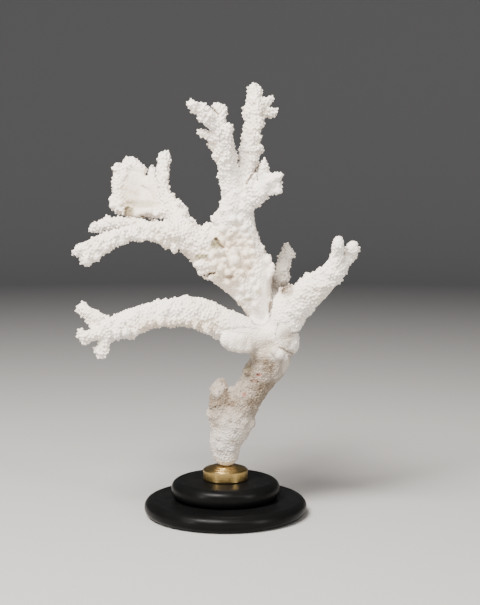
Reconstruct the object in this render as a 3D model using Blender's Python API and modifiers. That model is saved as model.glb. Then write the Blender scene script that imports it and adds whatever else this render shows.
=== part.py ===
"""Acropora florida skeleton, held upright by a brass collar on a turned black base.

Metres, +Z up, the front towards -Y. The origin is the centre of the base's underside.
The coral is one growth, parted at its main forks by thin saw cuts.
"""
import math
import random

import bmesh
import bpy
from mathutils import Matrix, Vector
from mathutils.bvhtree import BVHTree

MM = 0.001
GAP = 0.0003

# Turned base: two tiers with full rounded rims
LOWER_RADIUS = 0.070
LOWER_HEIGHT = 0.014
LOWER_ROUND = 0.0068
UPPER_RADIUS = 0.0467
UPPER_HEIGHT = 0.016
UPPER_ROUND = 0.0070
BASE_HEIGHT = LOWER_HEIGHT + UPPER_HEIGHT
RIM_STEPS = 3
BASE_SEGMENTS = 44

# Brass collar: a plain side, then a sloping shoulder cut into rings
COLLAR_RADIUS = 0.0193
COLLAR_SIDE = 0.0090
COLLAR_TOP_RADIUS = 0.0095
COLLAR_HEIGHT = 0.0120
COLLAR_BEVEL = 0.0006
COLLAR_RINGS = 3
RING_GROOVE = 0.0004
COLLAR_SEGMENTS = 36

# Mounting pin, through the collar and into blind holes in the base and the coral
PIN_RADIUS = 0.0020
PIN_IN_BASE = 0.012
PIN_IN_CORAL = 0.018
PIN_SEGMENTS = 12
HOLE_SEGMENTS = 16

# Branchlets of the coral: how far they stand out, their radius and how far apart they grow.
# On a slim branch they stand out and widen by no more than these shares of its radius.
FOOT_HEIGHT = BASE_HEIGHT + COLLAR_HEIGHT + 2 * GAP
BRANCHLET_REACH = 0.0024
BRANCHLET_RADIUS = 0.0033
BRANCHLET_SPACING = 0.0096
BRANCHLET_LEAN = math.radians(35)
SLIM_REACH = 0.30
SLIM_WIDTH = 0.62
ROOT_DEPTH = 0.45
OVERHANG = 1.6
TIP_CROWDING = 2.2
GOLDEN_ANGLE = math.pi * (3 - math.sqrt(5))

# Making of the coral: step along a run, grain of the fused skin, its triangles, width of a
# saw cut, the least volume of a piece, and the seed of the branchlets' small differences
RUN_STEP = 0.003
VOXEL = 0.0013
EASE_ROUNDS = 2
CORAL_TRIANGLES = 5800
KERF = 0.00036
CRUMB_VOLUME = 2e-7
LABEL_SHARE = 0.62
SEED = 11

# The guide points are read from the front, by an eye at this place
EYE = Vector((0.0125, -1.142, 0.304))

# Guide points of the coral, in millimetres: across, height, depth, radius over the branchlets.
# Each list of points is one run, and the runs of a branch are fused.
STEM_RUNS = [
    [(0.5, 53, 0, 12.6), (0, 60, 0, 14.2), (1, 66, 0, 15.6), (4, 73, 0, 17.2), (7, 81, 0, 17.8),
     (11.5, 90, 0, 16.5), (18, 101, -1, 15.6), (24.7, 112, -2, 15.6), (30.6, 122, -3, 17),
     (36.8, 132, -4, 18.4), (38.2, 142, -4, 19.4), (38, 150, -2, 17)],
    [(-3, 82, -1, 12.5), (-4.5, 95, -3, 10.5), (-5, 105, -4, 9.4), (-4.6, 110, -4, 7.6),
     (-3.6, 114.5, -4, 5)],
    [(3, 94, -2, 9), (5.5, 104, -2, 8)],
    [(12, 81, -1, 11), (19.5, 78.5, -3, 6.2)],
    [(-7, 88, -2, 9), (-12, 87, -4, 5.4)],
    [(27, 119, -3, 12), (21, 123.5, -4, 7.5)],
    [(36, 146, -4, 17), (48, 150, -6, 16.6)],
    [(-4, 167, -12, 11.6), (12, 159.5, -12, 12.5), (28, 151.5, -10, 13), (42, 154.5, -10, 12.5),
     (54, 164, -13, 11.5)],
]
LEFT_ARM_RUNS = [
    [(30, 153, -4, 16), (14, 158, -6, 15.5), (-2, 164.5, -9, 14.6), (-18, 172.3, -12, 15),
     (-32, 175, -16, 14.2), (-48, 174.5, -21, 13), (-62, 172.5, -26, 12.6),
     (-76, 167.5, -30, 13.2), (-88, 163, -34, 12.4), (-98, 162, -37, 10)],
    [(28, 153, -6, 15), (19, 153, -6, 15), (8.6, 152.4, -7, 13.4)],
    [(-97, 163, -36, 8), (-107, 168.5, -36, 8), (-116, 173.5, -34, 7.2), (-121.5, 177.5, -32, 6)],
    [(-97, 160, -37, 8), (-108, 157, -41, 7.6), (-118.5, 153.5, -45, 7)],
    [(-98, 158, -38, 7), (-104, 148, -40, 6.4), (-105.5, 140, -41, 5.8)],
]
TRUNK_RUNS = [
    [(40, 154, 3, 13), (34, 165, 5, 12.6), (29, 180, 5, 12.8), (28, 195, 5, 12.8),
     (27, 208, 6, 13.4), (23, 222, 6, 13), (18, 236, 5, 12.4), (15, 250, 4, 11.8),
     (14, 262, 3, 11.5), (15, 275, 4, 11)],
    [(14, 200, 1, 12), (7, 220, 2, 13.5), (2, 236, 1, 12.4), (1.5, 250, 0, 12),
     (4.5, 262, -1, 11.4), (8, 275, -1, 10.8)],
    [(30, 172, 3, 11), (19, 190, 0, 12.6), (5, 206, -2, 15.4), (-7, 218, -3, 16.5)],
    [(28, 206, 4, 12), (33.5, 216.5, 5, 7.6)],
]
RIGHT_ARM_RUNS = [
    [(42, 154, -4, 16), (50, 166, -7, 16.4), (58, 179, -12, 15.6), (70, 190, -17, 14.6),
     (81.5, 200.5, -22, 12.6), (91.5, 209, -27, 11)],
    [(91, 208, -27, 10), (94.3, 221, -31, 7.6), (95.5, 232.5, -34, 7)],
    [(92, 209, -26, 10.2), (101, 219, -24, 8.6), (107.5, 228.5, -21, 7.2)],
    [(50, 182, -4, 12), (55.5, 193, -3, 8)],
]
REAR_BRANCH_RUNS = [
    [(33, 180, 10, 10), (41, 192, 20, 9.6), (46.6, 203, 29, 8.8), (49.4, 215, 36, 7.8),
     (52, 226, 42, 7)],
]
UPPER_LEFT_RUNS = [
    [(-7, 218, -3, 16.5), (-20, 229, -5, 17), (-32, 236, -8, 15.5), (-45, 241, -12, 13.2),
     (-60, 243.5, -16, 10.2), (-76, 242.5, -21, 9), (-90, 239, -27, 9.2),
     (-103, 233, -32, 10.4), (-114, 228, -36, 9.6), (-123, 226.5, -39, 6.4)],
    [(-6, 239, 0, 12), (-19, 240.5, -2, 11.6), (-31, 242.5, -4, 12)],
    [(-56, 243, -14, 8), (-72, 249, -7, 7), (-84, 251, -2, 6.9), (-95, 250.5, 3, 7.3),
     (-106, 248, 6, 6.6), (-112, 246, 8, 4.8)],
]
FAN_RUNS = [
    [(-38, 250, -4, 10), (-40.5, 259, 4, 10)],
    [(-40, 259, 4, 8), (-54, 260, 9, 7.2), (-68, 260, 13, 6.2), (-80, 261, 16, 5.8),
     (-90, 263, 18, 5.8)],
    [(-89, 262, 18, 6), (-90.5, 272, 20, 6), (-90, 284, 24, 6.5), (-88.5, 294, 28, 6.6)],
    [(-88, 293, 28, 6.8), (-80, 299, 30, 7.2), (-70, 295, 29, 6.2)],
    [(-42, 260, 5, 8), (-56, 272, 15, 6.4), (-61, 285, 21, 6), (-61.5, 294, 25, 4.6)],
    [(-41, 259, 4, 9), (-49.5, 272, 10, 6.9), (-53, 288, 14, 6.8), (-51.3, 303.5, 18, 6.8)],
    [(-50, 265, 12, 6.2), (-70, 274, 21, 6.4), (-86, 282, 25, 6.4)],
    [(-54, 272, 16, 6), (-66, 283, 24, 6.4), (-78, 292, 30, 6.4)],
    [(-60, 264, 13, 5.8), (-76, 269, 19, 6), (-89, 275, 22, 5.8)],
    [(-70, 278, 23, 6), (-84, 289, 28, 6.4)],
]
TOP_LEFT_RUNS = [
    [(6.5, 272, -1, 11), (4.5, 286, -3, 10.6), (2, 297, -6, 10.4), (0.5, 308, -9, 10.2),
     (-2, 320, -13, 9.2), (-5, 332, -16, 9)],
    [(-7, 334, -17, 8), (-17, 343, -22, 7.9), (-28, 349, -27, 5.2)],
    [(-5, 334, -16, 8), (-5.5, 345.5, -15, 7.6)],
    [(2, 317, -16, 6), (3, 330, -22, 5.2)],
    [(-5, 321, -13, 6), (-19, 326, -14, 5.2)],
    [(-9, 333, -18, 7), (-19, 338.5, -24, 4.8)],
    [(-3, 311, -10, 7), (-12, 317, -8, 4.4)],
]
TOP_RIGHT_RUNS = [
    [(15, 272, 3, 11), (17.6, 286, 2, 10.2), (19.4, 299, 4, 10.4), (20.4, 311, 7, 10.2),
     (22.1, 323, 11, 9.4), (24.2, 335, 15, 9.6), (25.3, 346, 18, 9.2), (24.5, 360, 21, 7.6)],
    [(27, 345, 18, 7), (38.5, 343, 20, 6)],
    [(27, 349, 18, 7), (37, 353.5, 22, 4.8)],
    [(16, 266, -2, 10), (28, 276.5, -9, 10.4), (37, 285, -14, 9)],
    [(32, 284, -12, 7), (32.5, 299, -15, 5)],
    [(36, 287, -13, 8.4), (45.5, 290, -18, 5.2)],
    [(34, 281, -11, 7), (44.5, 282.5, -15, 5.2)],
    [(34, 278.5, -11, 6.6), (45, 278, -16, 4.2)],
]
CORAL_RUNS = {
    "foot_stem": STEM_RUNS,
    "left_arm": LEFT_ARM_RUNS,
    "trunk": TRUNK_RUNS,
    "right_arm": RIGHT_ARM_RUNS,
    "rear_branch": REAR_BRANCH_RUNS,
    "upper_left_arm": UPPER_LEFT_RUNS,
    "fan": FAN_RUNS,
    "top_left_branch": TOP_LEFT_RUNS,
    "top_right_branch": TOP_RIGHT_RUNS,
}

# How far the branchlets of a node stand out, as a share of the usual: the stem is worn smooth
BRANCHLET_SHARE = {"foot_stem": 0.35, "fan": 0.8}

# Single branchlets that stand out at the edges, across and height, in millimetres
EDGE_BRANCHLETS = {
    "foot_stem": [(27, 78), (-17.5, 88), (58, 135), (-14.5, 98), (-12.5, 113), (9, 111)],
    "left_arm": [(-120, 185), (-127, 180), (-119, 164), (-126, 161), (-128, 155),
                 (-122, 146), (-114, 144), (-112.5, 141), (-109, 134), (-102, 134.5),
                 (-98, 141), (-93, 149.5), (-79, 150), (-72, 182), (-58, 187), (-33, 191),
                 (-5.5, 152)],
    "trunk": [(-3, 194), (9, 184), (-17.5, 202), (-11, 199), (41, 215), (38, 225), (-11, 258),
              (17, 172.5)],
    "right_arm": [(104, 207), (113, 221), (115.5, 229), (110, 236), (98, 241), (90, 233),
                  (67, 209), (76, 175), (89, 190), (98, 199)],
    "rear_branch": [(52, 235), (60, 223), (44, 221)],
    "upper_left_arm": [(-131.5, 225.5), (-125, 234), (-121, 214), (-116, 213), (-109, 217),
                       (-104, 221.5), (-87, 229), (-44, 225.5), (-30, 219.5), (-26, 211),
                       (-21, 204.5), (-26, 256), (-101, 258), (-116, 244)],
    "fan": [(-98.5, 270), (-97, 264), (-96.5, 283), (-95, 296.5), (-91, 301.5),
            (-84, 307.5), (-77, 307), (-62, 300.5), (-53, 312), (-47, 312), (-44.5, 303),
            (-58, 298), (-38, 271), (-31.5, 264)],
    "top_left_branch": [(-34, 352), (-28.5, 355.5), (-28, 345), (-18, 353), (-11, 351),
                        (-5, 354), (3, 345.5), (4, 337), (-24.5, 338), (-24, 329), (-15, 316),
                        (-11.5, 306), (8, 331), (8, 318), (11, 309)],
    "top_right_branch": [(18, 364), (24, 369), (32, 363), (41, 357.5), (45, 346),
                         (39, 337.5), (34, 334), (33.5, 312), (13.5, 342), (13.5, 346.5),
                         (17, 351), (13.5, 325), (33.5, 306), (41, 294), (49.5, 293),
                         (49.5, 276)],
}

# Saw cuts at the forks: two ends in the front view (across, height), the depth at which they
# are read, the direction that the cut leans along (x, y, z), and how far it runs each way
FORK_CUTS = {
    "left_arm_cut": ((-5, 138), (7, 180), 0, (0, 1, 0), (-38, 22)),
    "trunk_cut": ((5, 174.5), (43, 178), 0, (0, 1, 0), (-32, 32)),
    "right_arm_cut": ((43, 178), (68, 157), 0, (0, 1, 0), (-32, 32)),
    "crotch_cut": ((43, 178), (49, 206), 0, (0, 1, 0), (-28, 16)),
    "rear_branch_cut": ((32, 205), (51, 186), 21, (-0.44, 0.78, -0.46), (-12, 12)),
    "upper_left_cut": ((-15, 197), (-12, 258), 0, (0, 1, 0), (-32, 32)),
    "fan_cut": ((-25, 257), (-56, 256), 1, (0, 0.78, -0.62), (-17, 17)),
    "top_left_cut": ((-10, 276), (15, 281), 0, (0, 1, 0), (-32, 32)),
    "top_right_cut": ((15, 281), (29, 256), 0, (0, 1, 0), (-32, 32)),
    "top_fork_cut": ((15, 281), (10.6, 305), 0, (0, 1, 0), (-32, 32)),
}

CORAL_COLOUR = (0.84, 0.80, 0.73)
STEM_COLOUR = (0.72, 0.64, 0.57)
BRASS_COLOUR = (0.66, 0.47, 0.22)
STEEL_COLOUR = (0.55, 0.55, 0.56)
LACQUER_COLOUR = (0.010, 0.010, 0.012)


def new_collection(name):
    collection = bpy.data.collections.new(name)
    bpy.context.scene.collection.children.link(collection)
    return collection


def new_material(name, colour, roughness, metallic=0.0):
    material = bpy.data.materials.new(name)
    material.use_nodes = True
    shader = material.node_tree.nodes["Principled BSDF"]
    shader.inputs["Base Color"].default_value = (*colour, 1)
    shader.inputs["Roughness"].default_value = roughness
    shader.inputs["Metallic"].default_value = metallic
    return material


def place(name, mesh, collection, material=None):
    item = bpy.data.objects.new(name, mesh)
    collection.objects.link(item)
    if material:
        mesh.materials.clear()
        mesh.materials.append(material)
    return item


def evaluated_mesh(item):
    """The mesh of an object as its modifiers leave it."""
    graph = bpy.context.evaluated_depsgraph_get()
    return bpy.data.meshes.new_from_object(item.evaluated_get(graph))


def sight_scale(depth):
    """How much larger a thing is at this depth than it looks in the plane of the front view."""
    return (depth * MM - EYE.y) / -EYE.y


def sight_point(across, height, depth):
    """A point of the front view, moved along its line of sight to its depth."""
    flat = Vector((across, 0, height)) * MM
    return EYE + (flat - EYE) * sight_scale(depth)


def reach_on(radius, share):
    """How far branchlets stand out of a branch of this radius."""
    return share * min(BRANCHLET_REACH, SLIM_REACH * radius)


def width_on(radius):
    """The radius of a branchlet on a branch of this radius."""
    return min(BRANCHLET_RADIUS, SLIM_WIDTH * radius)


def smooth_run(guides, share=1.0):
    """Places and core radii in metres along a Catmull-Rom curve through the guide points."""
    knots = []
    for across, height, depth, radius in guides:
        outer = radius * MM * sight_scale(depth)
        knots.append(Vector((*sight_point(across, height, depth), outer - reach_on(outer, share))))
    run = []
    for index in range(len(knots) - 1):
        before = knots[max(index - 1, 0)]
        start = knots[index]
        end = knots[index + 1]
        after = knots[min(index + 2, len(knots) - 1)]
        steps = max(1, round((end - start).xyz.length / RUN_STEP))
        for step in range(steps):
            t = step / steps
            run.append(0.5 * (2 * start + (end - before) * t
                              + (2 * before - 5 * start + 4 * end - after) * t ** 2
                              + (3 * start - before - 3 * end + after) * t ** 3))
    run.append(knots[-1])
    return [(knot.xyz, knot.w) for knot in run]


def unit_ball():
    """A ball of radius 1, to be copied."""
    shape = bmesh.new()
    bmesh.ops.create_icosphere(shape, subdivisions=2, radius=1)
    mesh = bpy.data.meshes.new("unit_ball")
    shape.to_mesh(mesh)
    shape.free()
    return mesh


def add_ball(shape, ball, matrix):
    """A copy of the unit ball, stretched and placed by the matrix."""
    copy = ball.copy()
    copy.transform(matrix)
    shape.from_mesh(copy)
    bpy.data.meshes.remove(copy)


def add_lump(shape, ball, root, tip, radius):
    """A rounded knob whose far end is at the tip."""
    axis = tip - root
    half = max(axis.length / 2, radius)
    turn = axis.to_track_quat("Z", "Y").to_matrix().to_4x4()
    centre = tip - axis.normalized() * half
    size = Matrix.Diagonal((radius, radius, half, 1))
    add_ball(shape, ball, Matrix.Translation(centre) @ turn @ size)


def add_branchlets(shape, ball, run, share, chance):
    """Stubby branchlets in a golden-angle spiral round a run, leaning towards its end."""
    angle = chance.uniform(0, math.tau)
    travel = 0.0
    due = 0.0
    for (start, radius), (end, _) in zip(run, run[1:]):
        heading = (end - start).normalized()
        side = heading.orthogonal().normalized()
        length = (end - start).length
        travel += length
        while due < travel:
            along = 1 - (travel - due) / length
            outward = Matrix.Rotation(angle, 3, heading) @ side
            lean = BRANCHLET_LEAN * chance.uniform(0.6, 1.3)
            growth = outward * math.cos(lean) + heading * math.sin(lean)
            reach = reach_on(radius, share) * chance.uniform(0.75, 1.35)
            width = width_on(radius) * chance.uniform(0.8, 1.1)
            skin = start.lerp(end, along) + outward * radius
            root = skin - outward * (radius * ROOT_DEPTH)
            add_lump(shape, ball, root, skin + growth * (reach * OVERHANG), width)
            angle += GOLDEN_ANGLE + chance.uniform(-0.25, 0.25)
            room = math.tau * (radius + reach)
            due += BRANCHLET_SPACING ** 2 / room * chance.uniform(0.8, 1.2)


def add_tip_branchlets(shape, ball, run, share, chance):
    """Branchlets spread over the rounded end of a run."""
    end, radius = run[-1]
    heading = (end - run[-2][0]).normalized()
    side = heading.orthogonal().normalized()
    dome = math.tau * radius ** 2
    count = max(3, round(dome / BRANCHLET_SPACING ** 2 * TIP_CROWDING))
    for index in range(count):
        rise = 1 - (index + 0.5) / count
        turn = Matrix.Rotation(index * GOLDEN_ANGLE + chance.uniform(0, 0.5), 3, heading)
        outward = turn @ side * math.sqrt(1 - rise ** 2) + heading * rise
        reach = reach_on(radius, share) * chance.uniform(0.8, 1.4)
        add_lump(shape, ball, end, end + outward * (radius + reach), width_on(radius))


def add_edge_branchlet(shape, ball, runs, across, height):
    """One branchlet, from the nearest run out to its place in the front view."""
    def distance(knot):
        spot, radius = knot
        return (sight_point(across, height, spot.y / MM) - spot).length - radius

    spot, radius = min((knot for run in runs for knot in run), key=distance)
    tip = sight_point(across, height, spot.y / MM)
    root = spot.lerp(tip, 0.25)
    add_lump(shape, ball, root, tip, width_on(radius))


def coral_growth(workshop):
    """The whole coral as one rough mesh: tubes along the runs, with their branchlets."""
    curve = bpy.data.curves.new("coral_runs", "CURVE")
    curve.dimensions = "3D"
    curve.bevel_depth = MM
    curve.bevel_resolution = 3
    curve.use_fill_caps = True
    shape = bmesh.new()
    ball = unit_ball()
    for number, (name, guide_lists) in enumerate(CORAL_RUNS.items()):
        chance = random.Random(SEED + number)
        share = BRANCHLET_SHARE.get(name, 1.0)
        runs = [smooth_run(guides, share) for guides in guide_lists]
        for run in runs:
            spline = curve.splines.new("POLY")
            spline.points.add(len(run) - 1)
            for point, (spot, radius) in zip(spline.points, run):
                point.co = (*spot, 1)
                point.radius = radius / MM
            for spot, radius in (run[0], run[-1]):
                add_ball(shape, ball, Matrix.Translation(spot) @ Matrix.Scale(radius, 4))
            add_branchlets(shape, ball, run, share, chance)
            add_tip_branchlets(shape, ball, run, share, chance)
        for across, height in EDGE_BRANCHLETS[name]:
            add_edge_branchlet(shape, ball, runs, across, height)
    tubes = bpy.data.objects.new("coral_runs", curve)
    workshop.objects.link(tubes)
    shape.from_mesh(evaluated_mesh(tubes))
    bpy.data.objects.remove(tubes)
    mesh = bpy.data.meshes.new("coral_growth")
    shape.to_mesh(mesh)
    shape.free()
    return mesh


def fused_coral(workshop):
    """One closed skin over the growth, with few enough triangles."""
    rough = place("coral_growth", coral_growth(workshop), workshop)
    remesh = rough.modifiers.new("Fuse", "REMESH")
    remesh.mode = "VOXEL"
    remesh.voxel_size = VOXEL
    smooth = rough.modifiers.new("Ease", "SMOOTH")
    smooth.factor = 0.5
    smooth.iterations = EASE_ROUNDS
    skin = place("coral_skin", evaluated_mesh(rough), workshop)
    bpy.data.objects.remove(rough)
    decimate = skin.modifiers.new("Thin", "DECIMATE")
    decimate.ratio = CORAL_TRIANGLES / (2 * len(skin.data.polygons))
    mesh = evaluated_mesh(skin)
    bpy.data.objects.remove(skin)
    return mesh


def add_cutter(name, mesh, cutters):
    cutter = place(name, mesh, cutters)
    cutter.hide_render = True
    cutter.display_type = "WIRE"
    return cutter


def saw_cut(name, cut, cutters):
    """A thin plate across a fork."""
    (start_x, start_z), (end_x, end_z), depth, lean, (near, far) = cut
    start = sight_point(start_x, start_z, depth)
    end = sight_point(end_x, end_z, depth)
    along = end - start
    across = Vector(lean) - Vector(lean).project(along)
    across.normalize()
    normal = along.normalized().cross(across)
    frame = Matrix((along.normalized(), across, normal)).transposed().to_4x4()
    size = Matrix.Diagonal((along.length, (far - near) * MM, KERF, 1))
    centre = (start + end) / 2 + across * ((near + far) / 2 * MM)
    shape = bmesh.new()
    bmesh.ops.create_cube(shape, size=1, matrix=Matrix.Translation(centre) @ frame @ size)
    mesh = bpy.data.meshes.new(name)
    shape.to_mesh(mesh)
    shape.free()
    return add_cutter(name, mesh, cutters)


def foot_cutters(cutters):
    """What lies under the foot's flat, and the blind hole for the pin."""
    shape = bmesh.new()
    half = 0.05
    bmesh.ops.create_cube(shape, size=2 * half,
                          matrix=Matrix.Translation((0, 0, FOOT_HEIGHT - half)))
    under = bpy.data.meshes.new("under_foot")
    shape.to_mesh(under)
    shape.free()
    shape = bmesh.new()
    depth = PIN_IN_CORAL + GAP
    bmesh.ops.create_cone(shape, cap_ends=True, segments=HOLE_SEGMENTS,
                          radius1=PIN_RADIUS + GAP, radius2=PIN_RADIUS + GAP,
                          depth=2 * depth, matrix=Matrix.Translation((0, 0, FOOT_HEIGHT)))
    hole = bpy.data.meshes.new("coral_pin_hole")
    shape.to_mesh(hole)
    shape.free()
    return [add_cutter("under_foot", under, cutters),
            add_cutter("coral_pin_hole", hole, cutters)]


def loose_shells(mesh):
    """The separate closed shells of a mesh, each as a mesh of its own."""
    whole = bmesh.new()
    whole.from_mesh(mesh)
    waiting = set(whole.verts)
    shells = []
    while waiting:
        front = [waiting.pop()]
        shell = set(front)
        while front:
            for edge in front.pop().link_edges:
                for vert in edge.verts:
                    if vert in waiting:
                        waiting.remove(vert)
                        shell.add(vert)
                        front.append(vert)
        shells.append({vert.index for vert in shell})
    pieces = []
    for indices in shells:
        piece = whole.copy()
        piece.verts.ensure_lookup_table()
        rest = [vert for vert in piece.verts if vert.index not in indices]
        bmesh.ops.delete(piece, geom=rest, context="VERTS")
        pieces.append(piece)
    whole.free()
    return pieces


def label_point(name):
    """A place well inside a node, part way along its first run."""
    run = smooth_run(CORAL_RUNS[name][0])
    return run[int(len(run) * LABEL_SHARE)][0]


def build_coral(parts, cutters, workshop):
    """The coral's nodes, parted at the forks."""
    whole = place("coral_whole", fused_coral(workshop), workshop)
    tools = [saw_cut(name, cut, cutters) for name, cut in FORK_CUTS.items()]
    tools += foot_cutters(cutters)
    for tool in tools:
        cut = whole.modifiers.new(tool.name, "BOOLEAN")
        cut.operation = "DIFFERENCE"
        cut.solver = "EXACT"
        cut.object = tool
    pieces = loose_shells(evaluated_mesh(whole))
    bpy.data.objects.remove(whole)
    bone = new_material("coral_bone", CORAL_COLOUR, 0.85)
    worn = new_material("coral_worn", STEM_COLOUR, 0.80)
    trees = []
    for piece in pieces:
        if piece.calc_volume() > CRUMB_VOLUME:
            trees.append((piece, BVHTree.FromBMesh(piece)))
    for name in CORAL_RUNS:
        spot = label_point(name)
        piece, _ = min(trees, key=lambda pair: pair[1].find_nearest(spot)[3])
        mesh = bpy.data.meshes.new(name)
        piece.to_mesh(mesh)
        place(name, mesh, parts, worn if name == "foot_stem" else bone)
    for piece in pieces:
        piece.free()


def rim_arc(centre_x, centre_z, radius, start, end):
    """Points of a turned rim, from one angle above the horizontal to another."""
    points = []
    for step in range(RIM_STEPS + 1):
        angle = math.radians(start + (end - start) * step / RIM_STEPS)
        points.append((centre_x + radius * math.cos(angle), centre_z + radius * math.sin(angle)))
    return points


def turned(name, profile, segments, parts, material, ring=False):
    """A solid turned from a profile of radius and height, run from top to bottom.

    The profile starts and ends on the axis, or it is a ring's, which closes on itself.
    """
    mesh = bpy.data.meshes.new(name)
    verts = [(radius, 0, height) for radius, height in profile]
    edges = [(index, index + 1) for index in range(len(profile) - 1)]
    if ring:
        edges.append((len(profile) - 1, 0))
    mesh.from_pydata(verts, edges, [])
    item = place(name, mesh, parts, material)
    screw = item.modifiers.new("Turn", "SCREW")
    screw.axis = "Z"
    screw.steps = segments
    screw.render_steps = segments
    screw.use_merge_vertices = True
    screw.merge_threshold = 0.00001
    screw.use_smooth_shade = False
    return item


def build_base(parts):
    """Two rounded tiers in one turning, with a blind hole for the pin."""
    lacquer = new_material("black_lacquer", LACQUER_COLOUR, 0.30)
    hole = PIN_RADIUS + GAP
    upper_x = UPPER_RADIUS - UPPER_ROUND
    upper_top = BASE_HEIGHT - UPPER_ROUND
    upper_low = LOWER_HEIGHT + UPPER_ROUND
    lower_x = LOWER_RADIUS - LOWER_ROUND
    profile = [(0, BASE_HEIGHT - PIN_IN_BASE), (hole, BASE_HEIGHT - PIN_IN_BASE),
               (hole, BASE_HEIGHT)]
    profile += rim_arc(upper_x, upper_top, UPPER_ROUND, 90, 0)
    profile += rim_arc(upper_x, upper_low, UPPER_ROUND, 0, -90)
    profile += rim_arc(lower_x, LOWER_HEIGHT - LOWER_ROUND, LOWER_ROUND, 90, 0)
    profile += rim_arc(lower_x, LOWER_ROUND, LOWER_ROUND, 0, -90)
    profile.append((0, 0))
    turned("turned_base", profile, BASE_SEGMENTS, parts, lacquer)


def build_collar(parts):
    """A ring with a plain side and a sloping shoulder of fine rings, bored for the pin."""
    brass = new_material("turned_brass", BRASS_COLOUR, 0.32, 1.0)
    foot = BASE_HEIGHT + GAP
    bore = PIN_RADIUS + GAP
    shoulder_rise = COLLAR_HEIGHT - COLLAR_SIDE
    run_in = COLLAR_RADIUS - COLLAR_BEVEL - COLLAR_TOP_RADIUS
    profile = [(bore, foot + COLLAR_HEIGHT), (COLLAR_TOP_RADIUS, foot + COLLAR_HEIGHT)]
    for ring in range(COLLAR_RINGS):
        outer = COLLAR_TOP_RADIUS + run_in * (ring + 1) / COLLAR_RINGS
        height = foot + COLLAR_HEIGHT - shoulder_rise * (ring + 1) / COLLAR_RINGS
        profile.append((outer - RING_GROOVE, height + RING_GROOVE))
        profile.append((outer, height))
    profile.append((COLLAR_RADIUS, foot + COLLAR_SIDE - COLLAR_BEVEL))
    profile.append((COLLAR_RADIUS, foot + COLLAR_BEVEL))
    profile.append((COLLAR_RADIUS - COLLAR_BEVEL, foot))
    profile.append((bore, foot))
    turned("brass_collar", profile, COLLAR_SEGMENTS, parts, brass, ring=True)


def build_pin(parts):
    """A straight rod from the base's blind hole to the coral's."""
    steel = new_material("pin_steel", STEEL_COLOUR, 0.30, 1.0)
    low = BASE_HEIGHT - PIN_IN_BASE + GAP
    high = FOOT_HEIGHT + PIN_IN_CORAL - GAP
    profile = [(0, high), (PIN_RADIUS, high), (PIN_RADIUS, low), (0, low)]
    turned("mounting_pin", profile, PIN_SEGMENTS, parts, steel)


def main():
    for item in list(bpy.data.objects):
        bpy.data.objects.remove(item)
    parts = new_collection("acropora_florida_skeleton")
    cutters = new_collection("cutters")
    workshop = new_collection("workshop")
    build_base(parts)
    build_collar(parts)
    build_pin(parts)
    build_coral(parts, cutters, workshop)
    bpy.data.collections.remove(workshop)


main()
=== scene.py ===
"""Looks of the Acropora florida skeleton on its turned base.

Metres, +Z up, the front towards -Y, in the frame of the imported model. The coral grows along
nearly the same guide points as its solids, with more branchlets and a corallite about every 2 mm.
"""

import math
import random

import bmesh
import bpy
import numpy as np
from mathutils import Matrix, Vector
from mathutils.bvhtree import BVHTree
from mathutils.kdtree import KDTree


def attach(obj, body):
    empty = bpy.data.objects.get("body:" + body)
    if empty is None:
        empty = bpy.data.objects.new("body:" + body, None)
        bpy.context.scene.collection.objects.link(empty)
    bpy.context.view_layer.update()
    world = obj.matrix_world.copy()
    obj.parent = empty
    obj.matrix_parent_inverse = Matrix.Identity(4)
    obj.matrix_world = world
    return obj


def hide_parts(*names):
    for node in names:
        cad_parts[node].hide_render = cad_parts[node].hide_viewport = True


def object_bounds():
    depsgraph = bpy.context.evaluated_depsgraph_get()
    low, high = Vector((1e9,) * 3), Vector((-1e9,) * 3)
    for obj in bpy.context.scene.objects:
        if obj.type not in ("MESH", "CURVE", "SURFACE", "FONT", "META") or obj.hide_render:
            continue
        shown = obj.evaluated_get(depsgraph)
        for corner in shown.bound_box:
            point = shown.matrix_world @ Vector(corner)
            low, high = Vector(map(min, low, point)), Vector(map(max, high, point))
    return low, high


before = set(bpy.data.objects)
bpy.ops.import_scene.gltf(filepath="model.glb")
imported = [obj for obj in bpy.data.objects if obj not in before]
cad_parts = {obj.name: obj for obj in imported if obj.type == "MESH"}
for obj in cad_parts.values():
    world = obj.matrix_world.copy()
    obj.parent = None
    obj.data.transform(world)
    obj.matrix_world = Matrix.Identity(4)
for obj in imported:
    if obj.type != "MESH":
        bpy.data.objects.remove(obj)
cad_low, cad_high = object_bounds()

MM = 0.001
GAP = 0.0003

# The camera, which is also the eye that the guide points are read from
EYE = Vector((0.0125, -1.142, 0.304))
EYE_TILT = math.radians(6.04)
EYE_LENS = 80.33
SENSOR_WIDTH = 36

# Turned base and collar, with the sizes of their solids
LOWER_HEIGHT = 0.014
UPPER_HEIGHT = 0.016
BASE_HEIGHT = LOWER_HEIGHT + UPPER_HEIGHT
COLLAR_RADIUS = 0.0193
COLLAR_SIDE = 0.0090
COLLAR_TOP_RADIUS = 0.0095
COLLAR_HEIGHT = 0.0120
COLLAR_BEVEL = 0.0006
COLLAR_RINGS = 3
RING_GROOVE = 0.0004
PIN_RADIUS = 0.0020
BORE_RADIUS = PIN_RADIUS + GAP
PIN_IN_BASE = 0.012
PIN_IN_CORAL = 0.018
FOOT_HEIGHT = BASE_HEIGHT + COLLAR_HEIGHT + 2 * GAP

# Tiers of the base from the top down: radius, rounding, and heights of underside and top
TIERS = ((0.0467, 0.0070, LOWER_HEIGHT, BASE_HEIGHT), (0.070, 0.0068, 0, LOWER_HEIGHT))

# The outline of a ring of the collar: how far out and how far down, as shares
RING_OUTLINE = ((0.25, 0.05), (0.50, 0.15), (0.72, 0.38), (0.86, 0.72))

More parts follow.
